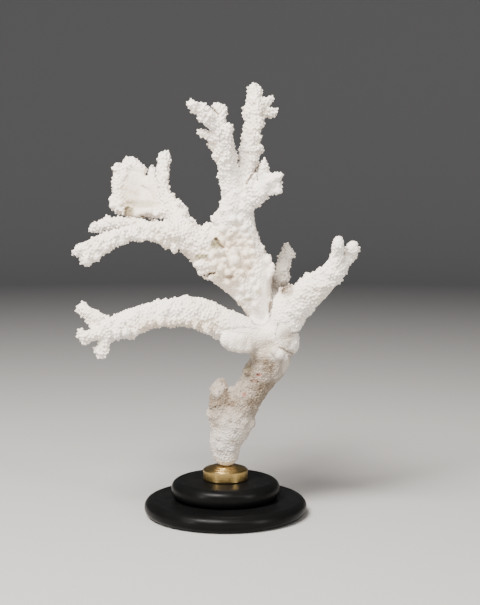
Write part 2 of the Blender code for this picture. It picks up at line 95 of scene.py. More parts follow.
RIM_STEPS = 10
TURNED_SEGMENTS = 128
DRILL_SEGMENTS = 24
SHARP_CREASE = math.radians(35)

# Branchlets: how far they stand out, their radius, how far apart they grow and how they lean, and
# the most that reach and radius may be as shares of a slim branch's radius. Their roots lie deeper
# than the skin, and those at the edges are wider.
BRANCHLET_REACH = 0.0024
BRANCHLET_RADIUS = 0.0042
BRANCHLET_SPACING = 0.0092
BRANCHLET_LEAN = math.radians(35)
SLIM_REACH = 0.30
SLIM_WIDTH = 0.48
ROOT_DEPTH = 0.45
OVERHANG = 1.2
EDGE_WIDTH = 1.35
EDGE_ROOT = 0.25
TIP_CROWDING = 3
GOLDEN_ANGLE = math.pi * (3 - math.sqrt(5))
RUN_STEP = 0.003
SEED = 11

# The ranges that branchlets and corallites vary in: factors, and for the turns angles
LEAN_RANGE = (0.6, 1.3)
REACH_RANGE = (0.75, 1.35)
WIDTH_RANGE = (0.8, 1.1)
SPACING_RANGE = (0.8, 1.2)
TURN_RANGE = (-0.25, 0.25)
TIP_REACH_RANGE = (0.8, 1.4)
TIP_TURN_RANGE = (0, 0.5)
CORALLITE_SPACING_RANGE = (0.88, 1.15)
CORALLITE_SIZE_RANGE = (0.82, 1.15)
CORALLITE_LEAN_RANGE = (0.5, 1.3)

# The branchlets end this much deeper than the solids' do, or this share of a slim branch's
# radius, and are this much slimmer. The corallites fill what is left.
SINK = 0.0010
SLIM_SINK = 0.14
LUMP_SLIM = 0.0003

# How much deeper than the branchlets' ends the core between them lies, in millimetres, and the
# most that the core of a slim branch gives up in all, as a share of its radius
USUAL_RELIEF = 2.4
RELIEF = {"foot_stem": 0.7, "left_arm": 1.2, "trunk": 1.0, "right_arm": 1.1, "fan": 0.8}
SLIM_RELIEF = 0.29

# Grain of the core's skin and of the finished skin, and how often the core is smoothed, first
# alone and then with its lumps
CORE_VOXEL = 0.0010
SKIN_VOXEL = 0.00057
CORE_EASE = 2
LUMPY_EASE = 1

# Guide points of the coral, in millimetres: across, height, depth, radius over the branchlets.
# Each list of points is one run, and the runs of a branch are fused.
STEM_RUNS = [
    [(0.5, 53, 0, 12.6), (0, 60, 0, 14.2), (1, 66, 0, 15.6), (4, 73, 0, 17.2), (7, 81, 0, 17.8),
     (11.1, 90.3, 0, 16), (17.5, 101.4, -1, 14.8), (25, 112, -2, 14.5), (30.6, 122.1, -3, 16),
     (38, 131.6, -4, 17.2), (38.2, 142, -4, 19.4), (38, 150, -2, 17)],
    [(-3, 82, -1, 12.5), (-4.5, 95, -3, 10.5), (-5, 105, -4, 9.4), (-4.6, 110, -4, 7.6),
     (-3.6, 114.5, -4, 5)],
    [(3, 94, -2, 9), (4, 104, -2, 7.4)],
    [(12, 81, -1, 11), (19.5, 78.5, -3, 6.2)],
    [(-7, 88, -2, 9), (-12, 87, -4, 5.4)],
    [(27, 119, -3, 12), (21, 123.5, -4, 7.5)],
    [(36, 146, -4, 17), (48, 150, -6, 16.6)],
    [(-4, 167, -12, 11.6), (12, 159.5, -12, 12.5), (28, 151.5, -10, 13), (42, 154.5, -10, 12.5),
     (54, 164, -13, 11.5)],
]
LEFT_ARM_RUNS = [
    [(30, 153, -4, 16), (14, 158, -6, 15.5), (-2, 164.5, -9, 14.6), (-18, 172.3, -12, 15),
     (-32, 175, -16, 14.2), (-48, 174.5, -21, 13), (-62, 172.5, -26, 12.6),
     (-76, 167.5, -30, 13.2), (-88, 163, -34, 12.4), (-98, 162, -37, 10)],
    [(28, 153, -6, 15), (19, 153, -6, 15), (8.6, 152.4, -7, 13.4)],
    [(-97, 163, -36, 8), (-107, 168.5, -36, 8), (-116, 173.5, -34, 7.2), (-121.5, 177.5, -32, 6)],
    [(-97, 160, -37, 8), (-108, 157, -41, 7.6), (-118.5, 153.5, -45, 7)],
    [(-98, 158, -38, 7), (-104, 148, -40, 6.4), (-105.5, 140, -41, 5.8)],
]
TRUNK_RUNS = [
    [(40, 154, 3, 13), (34, 165, 5, 12.6), (29, 180, 5, 12.8), (28, 195, 5, 12.8),
     (27, 208, 6, 13.4), (23, 222, 6, 13), (18, 236, 5, 12.4), (15, 250, 4, 11.8),
     (14, 262, 3, 11.5), (15, 275, 4, 11)],
    [(14, 200, 1, 12), (7, 220, 2, 13.5), (2, 236, 1, 12.4), (1.5, 250, 0, 12),
     (4.5, 262, -1, 11.4), (8, 275, -1, 10.8)],
    [(30, 172, 3, 11), (19, 190, 0, 12.6), (5, 206, -2, 15.4), (-7, 218, -3, 16.5)],
    [(28, 206, 4, 12), (33.5, 216.5, 5, 7.6)],
]
RIGHT_ARM_RUNS = [
    [(42, 154, -4, 16), (50, 166, -7, 16.4), (58, 179, -12, 15.6), (70, 190, -17, 14.6),
     (81.5, 200.5, -22, 12.6), (91.5, 209, -27, 11)],
    [(91, 208, -27, 10), (94.3, 221, -31, 7.6), (95.5, 232.5, -34, 7)],
    [(92, 209, -26, 10.2), (101, 219, -24, 8.6), (107.5, 228.5, -21, 7.2)],
    [(50, 182, -4, 12), (55.5, 193, -3, 8)],
]
REAR_BRANCH_RUNS = [
    [(33, 180, 10, 10), (41, 192, 20, 9.6), (46.6, 203, 29, 8.8), (49.4, 215, 36, 7.8),
     (52, 226, 42, 7)],
]
UPPER_LEFT_RUNS = [
    [(-7, 218, -3, 16.5), (-20, 229.6, -5, 16), (-32, 238.3, -8, 13.4), (-45, 241, -12, 13.2),
     (-60, 243.5, -16, 10.2), (-76, 242.5, -21, 9), (-90, 239, -27, 9.2),
     (-103, 233, -32, 10.4), (-114, 228, -36, 9.6), (-123, 226.5, -39, 6.4)],
    [(-6, 239, 0, 12), (-19.5, 239.5, -2, 9.8), (-31, 242.5, -4, 12)],
    [(-56, 243, -14, 8), (-72, 249, -7, 7), (-84, 251, -2, 6.9), (-95, 250.5, 3, 7.3),
     (-106, 248, 6, 6.6), (-112, 246, 8, 4.8)],
]
FAN_RUNS = [
    [(-38, 250, -4, 10), (-40.5, 259, 4, 10)],
    [(-40, 259, 4, 8), (-54, 260, 9, 7.2), (-68, 260, 13, 6.2), (-80, 261, 16, 5.8),
     (-90, 263, 18, 5.8)],
    [(-89, 262, 18, 6), (-90.5, 272, 20, 6), (-90, 284, 24, 6.5), (-88.5, 294, 28, 6.6)],
    [(-88, 293, 28, 6.8), (-80, 299, 30, 7.2), (-70, 295, 29, 6.2)],
    [(-42, 260, 5, 8), (-56, 272, 15, 6.4), (-61, 285, 21, 6), (-61.5, 294, 25, 4.6)],
    [(-41, 259, 4, 9), (-49.5, 272, 10, 6.9), (-53, 288, 14, 6.8), (-51.3, 303.5, 18, 6.8)],
    [(-50, 265, 12, 6.2), (-70, 274, 21, 6.4), (-86, 282, 25, 6.4)],
    [(-54, 272, 16, 6), (-66, 283, 24, 6.4), (-78, 292, 30, 6.4)],
    [(-60, 264, 13, 5.8), (-76, 269, 19, 6), (-89, 275, 22, 5.8)],
    [(-70, 278, 23, 6), (-84, 289, 28, 6.4)],
]
TOP_LEFT_RUNS = [
    [(6.5, 272, -1, 11), (4.5, 286, -3, 10.6), (2, 297, -6, 10.4), (0.5, 308, -9, 10.2),
     (-2, 320, -13, 9.2), (-5, 332, -16, 9)],
    [(-7, 334, -17, 8), (-17, 343, -22, 7.9), (-28, 349, -27, 5.2)],
    [(-5, 334, -16, 8), (-5.5, 345.5, -15, 7.6)],
    [(2, 317, -16, 6), (3, 330, -22, 5.2)],
    [(-5, 321, -13, 6), (-19, 326, -14, 5.2)],
    [(-9, 333, -18, 7), (-19, 338.5, -24, 4.8)],
    [(-3, 311, -10, 7), (-12, 317, -8, 4.4)],
]
TOP_RIGHT_RUNS = [
    [(15, 272, 3, 11), (17.6, 286, 2, 10.2), (19.4, 299, 4, 10.4), (20.4, 311, 7, 10.2),
     (22.1, 323, 11, 9.4), (24.2, 335, 15, 9.6), (25.3, 346, 18, 9.2), (24.5, 360, 21, 7.6)],
    [(27, 345, 18, 7), (38.5, 343, 20, 6)],
    [(27, 349, 18, 7), (37, 353.5, 22, 4.8)],
    [(16, 266, -2, 10), (28, 276.5, -9, 10.4), (37, 285, -14, 9)],
    [(32, 284, -12, 7), (32.5, 299, -15, 5)],
    [(36, 287, -13, 8.4), (45.5, 290, -18, 5.2)],
    [(34, 281, -11, 7), (44.5, 282.5, -15, 5.2)],
    [(34, 278.5, -11, 6.6), (45, 278, -16, 4.2)],
]
CORAL_RUNS = {
    "foot_stem": STEM_RUNS,
    "left_arm": LEFT_ARM_RUNS,
    "trunk": TRUNK_RUNS,
    "right_arm": RIGHT_ARM_RUNS,
    "rear_branch": REAR_BRANCH_RUNS,
    "upper_left_arm": UPPER_LEFT_RUNS,
    "fan": FAN_RUNS,
    "top_left_branch": TOP_LEFT_RUNS,
    "top_right_branch": TOP_RIGHT_RUNS,
}
BRANCHLET_SHARE = {"foot_stem": 0.35, "fan": 0.8}

# Single branchlets that stand out at the edges, across and height, in millimetres
EDGE_BRANCHLETS = {
    "foot_stem": [
        (27, 78), (-17.5, 88), (57.5, 132), (-14.5, 98), (-12.5, 113), (-9, 117), (-1.5, 116.5),
        (3, 112.5), (8, 139.5), (15, 139), (0, 143.5),
    ],
    "left_arm": [
        (-120, 185), (-127, 180), (-119, 164), (-126, 161), (-128, 155), (-128.5, 176),
        (-114, 166), (-118, 147.5), (-110, 148), (-122, 146), (-114, 144), (-112.5, 141),
        (-109, 134), (-102, 134.5), (-98, 141), (-93, 149.5), (-79, 150), (-72, 182), (-58, 187),
        (-33, 191), (-5.5, 152),
    ],
    "trunk": [
        (-3, 194), (9, 184), (-17.5, 202), (-11, 199), (41, 215), (38, 225), (-11, 258),
        (17, 172.5), (41.5, 210),
    ],
    "right_arm": [
        (104, 207), (113, 221), (115.5, 229), (110, 236), (98, 241), (90, 233), (67, 209),
        (76, 175), (89, 190), (98, 199), (62, 204),
    ],
    "rear_branch": [(52, 235), (60, 223), (44, 221)],
    "upper_left_arm": [
        (-131.5, 225.5), (-125, 234), (-121, 214), (-116, 213), (-109, 217), (-26, 211),
        (-21, 204.5), (-27, 255), (-101, 258), (-116, 244),
    ],
    "fan": [
        (-98.5, 270), (-97, 264), (-96.5, 283), (-95, 296.5), (-91, 301.5), (-84, 307.5),
        (-77, 307), (-62, 300.5), (-53, 312), (-47, 312), (-44.5, 303), (-58, 298), (-38, 271),
        (-31.5, 264),
    ],
    "top_left_branch": [
        (-33, 352), (-28.5, 355.5), (-27, 346.5), (-16.5, 352.5), (-11, 351), (-5, 352), (2, 348),
        (3.2, 343), (5, 333), (-24.5, 338), (-24, 329), (-15, 316), (-11.5, 306), (8, 331),
        (8, 318), (11, 309),
    ],
    "top_right_branch": [
        (18, 364), (24, 369), (32, 363), (41, 357.5), (45, 346), (39, 337.5), (34, 334),
        (33.5, 312), (13.5, 342), (13.5, 346.5), (17, 351), (13.5, 325), (33.5, 306), (41, 294),
        (49.5, 293), (49.5, 276),
    ],
}

# Corallites of a node: spacing, radius and height in millimetres, and lean towards the tip
CORALLITES = {
    "foot_stem": (1.9, 0.80, 0.80, 10),
    "trunk": (2.2, 0.98, 1.00, 15),
    "left_arm": (2.2, 0.98, 1.35, 25),
    "right_arm": (2.2, 1.00, 1.20, 25),
    "fan": (2.3, 0.97, 1.50, 30),
}
USUAL_CORALLITES = (2.35, 0.97, 1.50, 32)
CORALLITE_ROOT = 1.0 * MM
CORALLITE_SIDES = 7
CORALLITE_FOOT = 0.85
CORALLITE_TOP_ANGLES = (90, 62, 32)
# The mouths are sunk this wide and this deep, and painted with shade
MOUTH_RADIUS = 0.62 * MM
MOUTH_DEPTH = 0.35 * MM

# How far from the nearest corallite's tip the painted shade between the corallites begins, and how
# much farther it is darkest, in millimetres
CREVICE_START = 1.1
CREVICE_FADE = 1.2

# Round knobs that point at the viewer: across, height and radius in millimetres
FACING_KNOBS = [
    (-3, 235, 3.6), (13, 234.5, 3.5), (8, 226, 4.2), (8, 218.5, 5.2), (17.5, 224.5, 3.3),
    (22, 234, 2.8), (2.5, 208.5, 3.5), (-4, 212, 3.8), (6.5, 254, 3.2), (12, 253.5, 3),
    (8, 245, 3.1), (16, 246, 3), (-2, 245, 3.2), (3, 232, 2.5), (-3, 226.5, 3), (-8, 226, 3),
    (27, 194.5, 2.7), (14, 194, 2.7), (23, 201, 2.7), (19.5, 217, 3.2), (3, 240, 2.3),
    (11.5, 240.5, 2.6), (19, 240, 2.7), (23, 208.5, 2.6), (14, 209, 2.9), (-12, 222, 3),
    (-1, 219, 2.9), (24, 226, 2.6), (2, 200, 2.7), (8, 203, 2.9), (19, 187.5, 2.6), (25, 181, 2.8),
    (11, 186.5, 2.5), (-9, 216, 3.1), (46, 138.5, 4.8), (50, 135, 3.6), (41.5, 141.5, 3.6),
    (-84, 291, 2.2), (-94, 292, 3.2), (-95, 265, 3), (-96, 270.5, 2.4), (-91, 299, 2.6),
    (-80, 258, 3), (-75, 258.5, 3.4), (-69, 259.5, 3.2), (-63, 260.5, 3.2), (-58, 258, 2.8),
    (-88, 267, 2.6),
]

# How far a knob's centre lies above half a radius under the skin, in radii
KNOB_RISE = 0.8

# Low mounds that point at the viewer, in the same way
MOUNDS = [
    (-8, 85, 6), (-1, 78.5, 5.5), (7, 75.5, 5.5), (15, 80, 5), (3, 88, 5), (-10, 75.5, 5),
    (-11, 94, 5), (6, 67, 6), (-5, 67, 5.5), (17, 90, 5), (8, 95, 5), (-6, 104, 6), (12, 85, 5),
    (-3, 58, 5), (5, 57, 5), (32, 128, 7), (22, 112, 6), (-3, 92, 4), (23, 79.5, 4.5),
]
MOUND_RISE = -0.28

# Branchlets that point at the viewer on the two top branches, the left arms and the lobes beside
# the trunk: their radius, with across and height of each
FACING_BRANCHLETS = {
    2.8: [
        (-25, 349.5), (-16.5, 329), (-106, 234.5), (-93, 241), (-74.5, 238.5), (-73, 246),
        (-66.5, 163), (-59.3, 163.5), (-53.5, 166), (-48, 165.5), (-42.5, 166), (-37, 166),
    ],
    3: [
        (22.5, 347), (13, 295.5), (-19.4, 352.5), (-14, 349.5), (-18.3, 344.4), (-4.4, 351.5),
        (-7, 346), (-1, 344), (3.5, 332), (-11.5, 320), (-124, 228), (-102, 230), (-94.5, 233),
        (-88.8, 236), (-80.5, 241), (-67.5, 239), (-60, 240), (-64.5, 246), (-56, 246),
        (-48.5, 234), (-69.6, 167.5), (-59.3, 168.5), (-30, 166), (-76.5, 165.5),
    ],
    3.2: [
        (21.4, 362.8), (27.9, 361), (20.9, 355), (28, 343.5), (19.3, 341), (29.5, 337), (24, 335),
        (18.2, 332), (28, 329.8), (28, 322.5), (17.1, 321), (23.6, 317.5), (15, 314), (29, 313),
        (15, 305.8), (24.6, 304), (18.2, 298.9), (-12, 341), (-2.5, 337.5), (-9.7, 335.5),
        (-5.4, 330), (1.5, 324), (-5, 321.5), (3.6, 315.2), (-3.3, 312), (-7.8, 306.5),
        (-2.5, 298.5), (-119.5, 221.5), (-110, 223), (-50, 240), (-43, 240), (-41.5, 231.5),
        (-36, 239), (-34.5, 230.5), (-28.5, 236), (-27, 228.5), (-41.5, 246), (-33, 245),
        (-84.5, 161), (-78, 158), (-23, 164.5), (-16, 161.5), (-91, 162),
    ],
    3.4: [
        (26.8, 352), (21.4, 326), (21.4, 310), (2.5, 305), (-13, 170.5), (-14, 226.5),
        (-24.5, 249.5),
    ],
    3.8: [(-18, 237.5), (-28, 241.5), (-21.5, 228)],
    4: [(-20.5, 217)],
    4.4: [(-14, 247.5)],
}
FACING_BRANCHLET_RISE = -0.1

# Stubby fingers seen from the side: across and height of root and tip, and radius, in millimetres
FINGERS = [
    (-92, 160, -93.3, 150.5, 3), (-84, 162, -85.5, 152, 4.2), (-75.5, 165, -76.5, 153, 4),
    (-69, 168, -69.6, 160.5, 3), (-62.5, 170, -63.6, 161, 3.2), (-54.5, 171, -55, 161, 3.6),
    (-48, 171, -49.5, 161, 2.8), (-42.5, 172, -43.9, 162, 2.8), (-37.5, 172, -38.7, 163, 2.8),
    (-31, 172, -33, 162.5, 3), (-12, 214, -29, 216, 4.2), (-12, 212, -25, 207.5, 3.6),
    (-2, 207, -16.5, 203.5, 3.4), (21, 284, 27.5, 294, 3.8), (18, 278, 24, 288, 3.8),
    (3, 158, 0, 143, 6.4), (8, 157, 6.5, 139.6, 6.6), (13, 156, 13, 138, 6.6),
    (19, 152, 18.5, 138.2, 5.6), (95.5, 226, 96, 241, 5), (104, 224, 111, 236.5, 5.2),
    (104, 226, 114.5, 230, 4.6), (-42, 264, -36, 271, 2), (-38, 257, -31.5, 263, 2),
    (-33, 251, -26.5, 256, 2), (-46, 272, -43, 277, 2.2), (-52, 290, -45.8, 292, 2.2),
    (-117, 223, -118.3, 214.2, 3.4), (-107.5, 226, -109.8, 217.8, 3),
    (-100.5, 233, -101.3, 225, 3), (-87, 239, -88, 230.6, 3), (-77.5, 243, -77.5, 235, 2.4),
    (-70, 242, -70, 234.2, 2.4), (-62.5, 242, -62.5, 234.2, 2.4), (-56, 241, -56, 233.2, 2.4),
    (-50, 238, -51, 230.5, 2.6), (-43, 234, -43, 223.6, 3.6), (-90, 296, -96.8, 296.5, 2.2),
    (-93, 271.5, -99.6, 270.8, 2), (-92, 267, -98.8, 266.2, 2.2), (-108, 163, -117.5, 162.2, 2.8),
    (-108, 150, -117, 147, 3.2), (-17, 166, -14.7, 154.6, 3.4), (-27, 169, -25, 159, 2.6),
    (21, 121, 14.6, 126, 3.2), (38, 204, 40.8, 218.5, 3), (35, 214, 38.3, 224.5, 3),
    (-6, 249, -12.5, 258, 3),
]

# How far behind the skin a finger's root lies, in radii
FINGER_DEPTH = 0.1

# What is left of the corallites on knobs and at fingers' ends, and how far out that goes, in radii
KNOB_CORALLITES = 0.12
FINGER_CORALLITES = 0.5
KNOB_CLEARANCE = 1.15

# Between these multiples of its half width and half height, an oval fades out
OVAL_FADE = (0.75, 1.25)

# A branchlet is left out where a smooth place counts for more than this, if it points at the
# viewer by at least the second share
BARE_SHARE = 0.5
BARE_FACING = 0.25

# Ovals of the skin that face the viewer: across, height, half width and half height in millimetres,
# and an amount: how smooth, how strongly tinted, and farther down how clean of wear they are. The
# tints are real stains in some ovals and painted shade in others.
SMOOTH_PLACES = [
    (51, 155, 7, 10, 0.95), (28, 153, 30, 15, 0.15), (35, 192, 5, 28, 0.7),
    (37, 285, 11, 12, 0.65), (-72, 281, 14, 18, 0.75), (24, 172, 5, 5, 0.5), (8, 283, 9, 14, 0.4),
]
# Painted shade in many of these: the olive and brown ovals in the trunk's notches and creases,
# round the slits, in the fan's hollow and cup and on the nub under the right arm, and the cream
# ovals under the arms, on the hub and in the fan's cup. The rust ovals and the patches on the stem
# are real stains.
STAINS_AND_SHADES = {
    "olive": [
        (-8, 233, 4, 5.5, 0.8), (-20, 222.5, 6, 2.5, 0.7), (-9, 206, 4.5, 2.5, 0.7),
        (20, 186, 5, 1.5, 0.5), (18, 127, 4, 3, 0.35), (-81.3, 260.3, 4.5, 5.5, 0.9),
        (-72, 267, 14, 3.5, 0.45), (33, 345, 4, 6, 0.35), (-2, 320, 3, 8, 0.2),
    ],
    "brown": [
        (4, 205, 5, 1.6, 0.7), (38, 176, 1.5, 7, 0.7), (52, 194.5, 6, 7, 0.9),
        (47, 200, 8, 9, 0.5), (0, 97, 9, 4, 0.55), (5, 95, 3, 2, 0.7), (28, 134, 10, 4, 0.35),
        (52, 153, 6, 8, 0.5), (34, 146, 10, 6, 0.3), (55, 141, 4, 2, 0.5), (3, 214, 2, 3, 0.4),
        (9, 230, 2, 3, 0.35), (-7, 78, 6, 4, 0.2), (16, 76, 4, 3, 0.2), (-4, 256, 7, 5, 0.15),
        (3, 236, 9, 4, 0.2), (20, 149, 14, 4, 0.3), (-80, 277, 8, 17, 0.25),
        (-81.8, 260, 3, 4, 0.4),
    ],
    "cream": [
        (6, 222, 20, 26, 0.9), (-45, 163, 42, 7, 0.7), (30, 147, 26, 12, 0.5),
        (51, 154, 7, 10, 0.5), (-72, 276, 17, 20, 0.7), (22, 186, 14, 16, 0.3),
        (80, 190, 30, 8, 0.4),
    ],
    "rust": [
        (16, 104, 2.2, 1.6, 0.8), (29, 121, 2.6, 1.3, 0.7), (25, 116, 3, 2, 0.25),
        (7, 232, 3, 1.2, 0.25),
    ],
}

# Small holes that face the viewer: across, height, radius and depth in millimetres
PITS = [
    (28, 120.5, 1.4, 2), (22, 115, 1.2, 1.6), (27.5, 114.5, 1.2, 1.6), (30, 109, 1.1, 1.4),
    (28, 103, 1, 1.3), (13, 106.5, 1.2, 1.5), (5, 79.5, 1, 1.2), (0, 57, 0.9, 1), (1, 51, 0.9, 1),
    (2, 108.5, 1.3, 1.6), (6.5, 97, 1.5, 1.8), (3, 95, 1.4, 1.6), (-5, 106, 0.9, 1),
    (-8, 93, 1, 1.2), (5.5, 243, 1, 1.2),
]

# Slits that face the viewer: across and height of both ends, radius and depth in millimetres
SLITS = [
    (-8, 237, -2.5, 229.5, 1.7, 2.6), (-18, 206.2, -8.6, 208.6, 1.2, 3),
    (18, 284, 29, 300, 1.1, 3), (38, 170, 38, 183, 1, 2.2), (-10.8, 347.2, -6, 341.6, 0.9, 2.5),
    (-70, 281.5, -67, 280.5, 0.8, 1.5), (-82.5, 262, -81.5, 257, 3, 3),
    (-69.5, 255.6, -59, 253, 1.5, 7), (1, 160, 17, 161.4, 1.2, 0.8),
    (17, 161.4, 31, 160.2, 1.2, 0.8), (19.3, 171.7, 25.7, 163.8, 0.9, 1.5),
    (25.7, 163.8, 32.6, 163, 0.9, 1.2), (32.6, 163, 38, 168, 0.9, 1.2),
    (45, 164, 43.2, 156, 0.9, 0.9), (43.2, 156, 45.5, 147, 0.9, 0.9),
    (50.5, 192, 54.5, 198, 3, 3.2), (56.8, 157.1, 62.6, 157.5, 0.8, 2.2),
    (46.3, 144.6, 56.8, 138.7, 1.1, 2),
]

# How much the rims of pits and slits waver, in millimetres, and how fast, in radians a millimetre
WAVER = 0.35
WAVER_RATES = (1.3, 1.1)

# A hollow this deep, in millimetres, gets as much painted shade, in the brown tint, as the deepest.
# Deeper ones are pressed also where the skin faces up or to the side, until its normal points away
# from the viewer by the limit.
DARK_DEPTH = 3
HOLLOW_SHADE = 0.85
DEEP_LIMIT = 0.3
DEEP_RATE = 4

# The tips are eased over this length, to end this far inside the solids' box
BOX_EASE = 1.5 * MM
BOX_MARGIN = 0.05 * MM

# How worn the skeleton is at some heights in millimetres, where it faces the viewer and where it
# doesn't, how far left the wear ends, and how worn the branch at the back is
WEAR_HEIGHTS = (48, 72, 98, 130, 139, 147, 160)
WEAR_AMOUNTS = (0.50, 0.58, 0.92, 0.95, 0.80, 0.42, 0.0)
BACK_WEAR_HEIGHTS = (48, 92, 122, 178)
BACK_WEAR_AMOUNTS = (0.45, 0.74, 0.74, 0.0)
WEAR_SPREAD = (-28, -14)
REAR_WEAR = 0.35

# Ovals where the wear is less by the amount. The two at the stem's right edge, at 52 and 46 across,
# are painted light: a paler skin where a rim light falls. The others are cleaner skin.
CLEAN_AND_LIT_PLACES = [
    (45, 139, 8, 6, 0.6), (52, 128, 4, 10, 0.4), (6, 149, 19, 11, 0.9), (60, 147, 9, 9, 0.7),
    (46, 122, 5, 12, 0.2), (-7, 109, 6, 6, 0.18),
]

# Colours of the coral. The painted shades of the mouths and of the crevices between corallites come
# with their strength.
BONE_WHITE = (0.905, 0.855, 0.795)
BONE_CREAM = (0.875, 0.795, 0.695)
WORN_LIGHT = (0.30, 0.235, 0.175)
WORN_DARK = (0.14, 0.105, 0.072)
PAINTED_SHADES = {
    "mouth": (0.4, (0.84, 0.77, 0.66)),
    "crevice_shade": (0.45, (0.80, 0.71, 0.60)),
}
# Olive, brown and cream paint shade as well as stains
STAIN_AND_SHADE_COLOURS = {
    "cream": (0.76, 0.65, 0.51),
    "olive": (0.22, 0.20, 0.09),
    "brown": (0.17, 0.115, 0.07),
    "rust": (0.30, 0.06, 0.045),
}

# Colours of the lacquer and of the metals, each with the one that is mixed in
LACQUER_BLACKS = ((0.002, 0.002, 0.002), (0.006, 0.006, 0.006))
BRASS_TONES = ((0.53, 0.37, 0.14), (0.36, 0.25, 0.09))
STEEL_TONES = ((0.55, 0.55, 0.56), (0.42, 0.42, 0.43))

# Studio
STAGE_RADIUS = 2.2
STAGE_CURVE = 1.2
STAGE_TOP = 3.2
STAGE_STEPS = 12
# The floor is painted pale round the object, a painted pool of light that fades out to the wall's
# grey
FLOOR_COLOUR = (0.43, 0.42, 0.405)
WALL_COLOUR = (0.17, 0.17, 0.175)
LIT_POOL_RADIUS = 0.45
SKY_COLOUR = (0.90, 0.94, 1.0)
SKY_STRENGTH = 0.12
KEY_COLOUR = (1.0, 0.965, 0.93)

# Soft lights: place, target, width and height in metres, and power in watts
LIGHTS = {
    "key": ((-0.50, -0.85, 1.40), (0, 0, 0.22), (0.75, 0.60), 88),
    "front": ((0.15, -1.30, 1.05), (0, 0, 0.1), (1.7, 0.09), 8),
    "right": ((1.20, -0.95, 0.55), (0, 0, 0.2), (0.18, 0.9), 13),
    "left": ((-1.15, -1.00, 0.55), (0, 0, 0.2), (0.18, 0.9), 12),
}


def new_collection(name):
    collection = bpy.data.collections.new(name)
    bpy.context.scene.collection.children.link(collection)
    return collection


def place(name, data, collection, material=None):
    item = bpy.data.objects.new(name, data)
    collection.objects.link(item)
    if material:
        data.materials.clear()
        data.materials.append(material)
    return item


def evaluated_mesh(item):
    """The mesh of an object as its modifiers leave it. The object itself goes."""
    graph = bpy.context.evaluated_depsgraph_get()
    mesh = bpy.data.meshes.new_from_object(item.evaluated_get(graph))
    bpy.data.objects.remove(item)
    return mesh


def mesh_of(shape, name):
    """A bmesh made into a mesh, and freed."""
    mesh = bpy.data.meshes.new(name)
    shape.to_mesh(mesh)
    shape.free()
    return mesh


def triples(items, key, kind=np.float32):
    """The three numbers that each item has under the key."""
    numbers = np.empty(len(items) * 3, kind)
    items.foreach_get(key, numbers)
    return numbers.reshape(-1, 3)


def mesh_arrays(mesh):
    """The vertices and the triangles of a mesh."""
    mesh.calc_loop_triangles()
    return triples(mesh.vertices, "co"), triples(mesh.loop_triangles, "vertices", np.int32)


def point_tree(spots):
    """A tree that finds the nearest of some places."""
    tree = KDTree(len(spots))
    for index, spot in enumerate(spots):
        tree.insert(spot, index)
    tree.balance()
    return tree


def array_mesh(name, spots, tris):
    """A mesh of these vertices and triangles."""
    mesh = bpy.data.meshes.new(name)
    mesh.vertices.add(len(spots))
    mesh.vertices.foreach_set("co", np.ascontiguousarray(spots, np.float32).ravel())
    mesh.loops.add(tris.size)
    mesh.loops.foreach_set("vertex_index", np.ascontiguousarray(tris, np.int32).ravel())
    mesh.polygons.add(len(tris))
    mesh.polygons.foreach_set("loop_start", np.arange(0, tris.size, 3, dtype=np.int32))
    mesh.update(calc_edges=True)
    return mesh


def sight_scale(depth):
    """How much larger a thing is at this depth than it looks in the plane of the front view."""
    return (depth * MM - EYE.y) / -EYE.y


def sight_point(across, height, depth):
    """A point of the front view, moved along its line of sight to its depth."""
    flat = Vector((across, 0, height)) * MM
    return EYE + (flat - EYE) * sight_scale(depth)


def reach_on(radius, share):
    """How far branchlets stand out of a branch of this radius."""
    return share * min(BRANCHLET_REACH, SLIM_REACH * radius)


def width_on(radius):
    """The radius of a branchlet on a branch of this radius."""
    return min(BRANCHLET_RADIUS, SLIM_WIDTH * radius)


def sink_on(radius, share):
    """How much deeper the branchlets end than the solids' do, to leave room for the corallites."""
    return share * min(SINK, SLIM_SINK * radius)


def core_radius(radius, share, relief):
    """The radius of the core, which leaves room for the branchlets' relief and the corallites."""
    outer = radius + reach_on(radius, share)
    return outer - min(share * SINK + relief * MM, SLIM_RELIEF * outer)


def smooth_run(guides, share=1.0):
    """Places, and radii under the branchlets, along a Catmull-Rom curve through guide points."""
    knots = []
    for across, height, depth, radius in guides:
        outer = radius * MM * sight_scale(depth)
        knots.append(Vector((*sight_point(across, height, depth), outer - reach_on(outer, share))))
    run = []
    for index in range(len(knots) - 1):
        before = knots[max(index - 1, 0)]
        start = knots[index]
        end = knots[index + 1]
        after = knots[min(index + 2, len(knots) - 1)]
        steps = max(1, round((end - start).xyz.length / RUN_STEP))
        for step in range(steps):
            t = step / steps
            run.append(0.5 * (2 * start + (end - before) * t
                              + (2 * before - 5 * start + 4 * end - after) * t ** 2
                              + (3 * start - before - 3 * end + after) * t ** 3))
    run.append(knots[-1])
    return [(knot.xyz, knot.w) for knot in run]


def unit_ball():
    """A ball of radius 1, to be copied."""
    shape = bmesh.new()
    bmesh.ops.create_icosphere(shape, subdivisions=2, radius=1)
    return mesh_of(shape, "unit_ball")


def add_ball(shape, ball, matrix):
    """A copy of the unit ball, stretched and placed by the matrix."""
    copy = ball.copy()
    copy.transform(matrix)
    shape.from_mesh(copy)
    bpy.data.meshes.remove(copy)


def add_lump(shape, ball, root, tip, radius, share=1.0):
    """A rounded knob whose far end is at the tip, less the room for its corallites. Its branch is
    taken to be twice as thick."""
    axis = tip - root
    tip = tip - axis.normalized() * sink_on(radius * 2, share)
    radius = radius - LUMP_SLIM * share
    half = max((tip - root).length / 2, radius)
    turn = axis.to_track_quat("Z", "Y").to_matrix().to_4x4()
    centre = tip - axis.normalized() * half
    size = Matrix.Diagonal((radius, radius, half, 1))
    add_ball(shape, ball, Matrix.Translation(centre) @ turn @ size)


def on_smooth_place(spot, growth):
    """Whether a branchlet here would stand on a smooth place that faces the viewer."""
    if growth.y > -BARE_FACING:
        return False
    view = front_view(np.array([spot]))
    return any(within_oval(view, 1, oval)[0] > BARE_SHARE for *oval, _ in SMOOTH_PLACES)


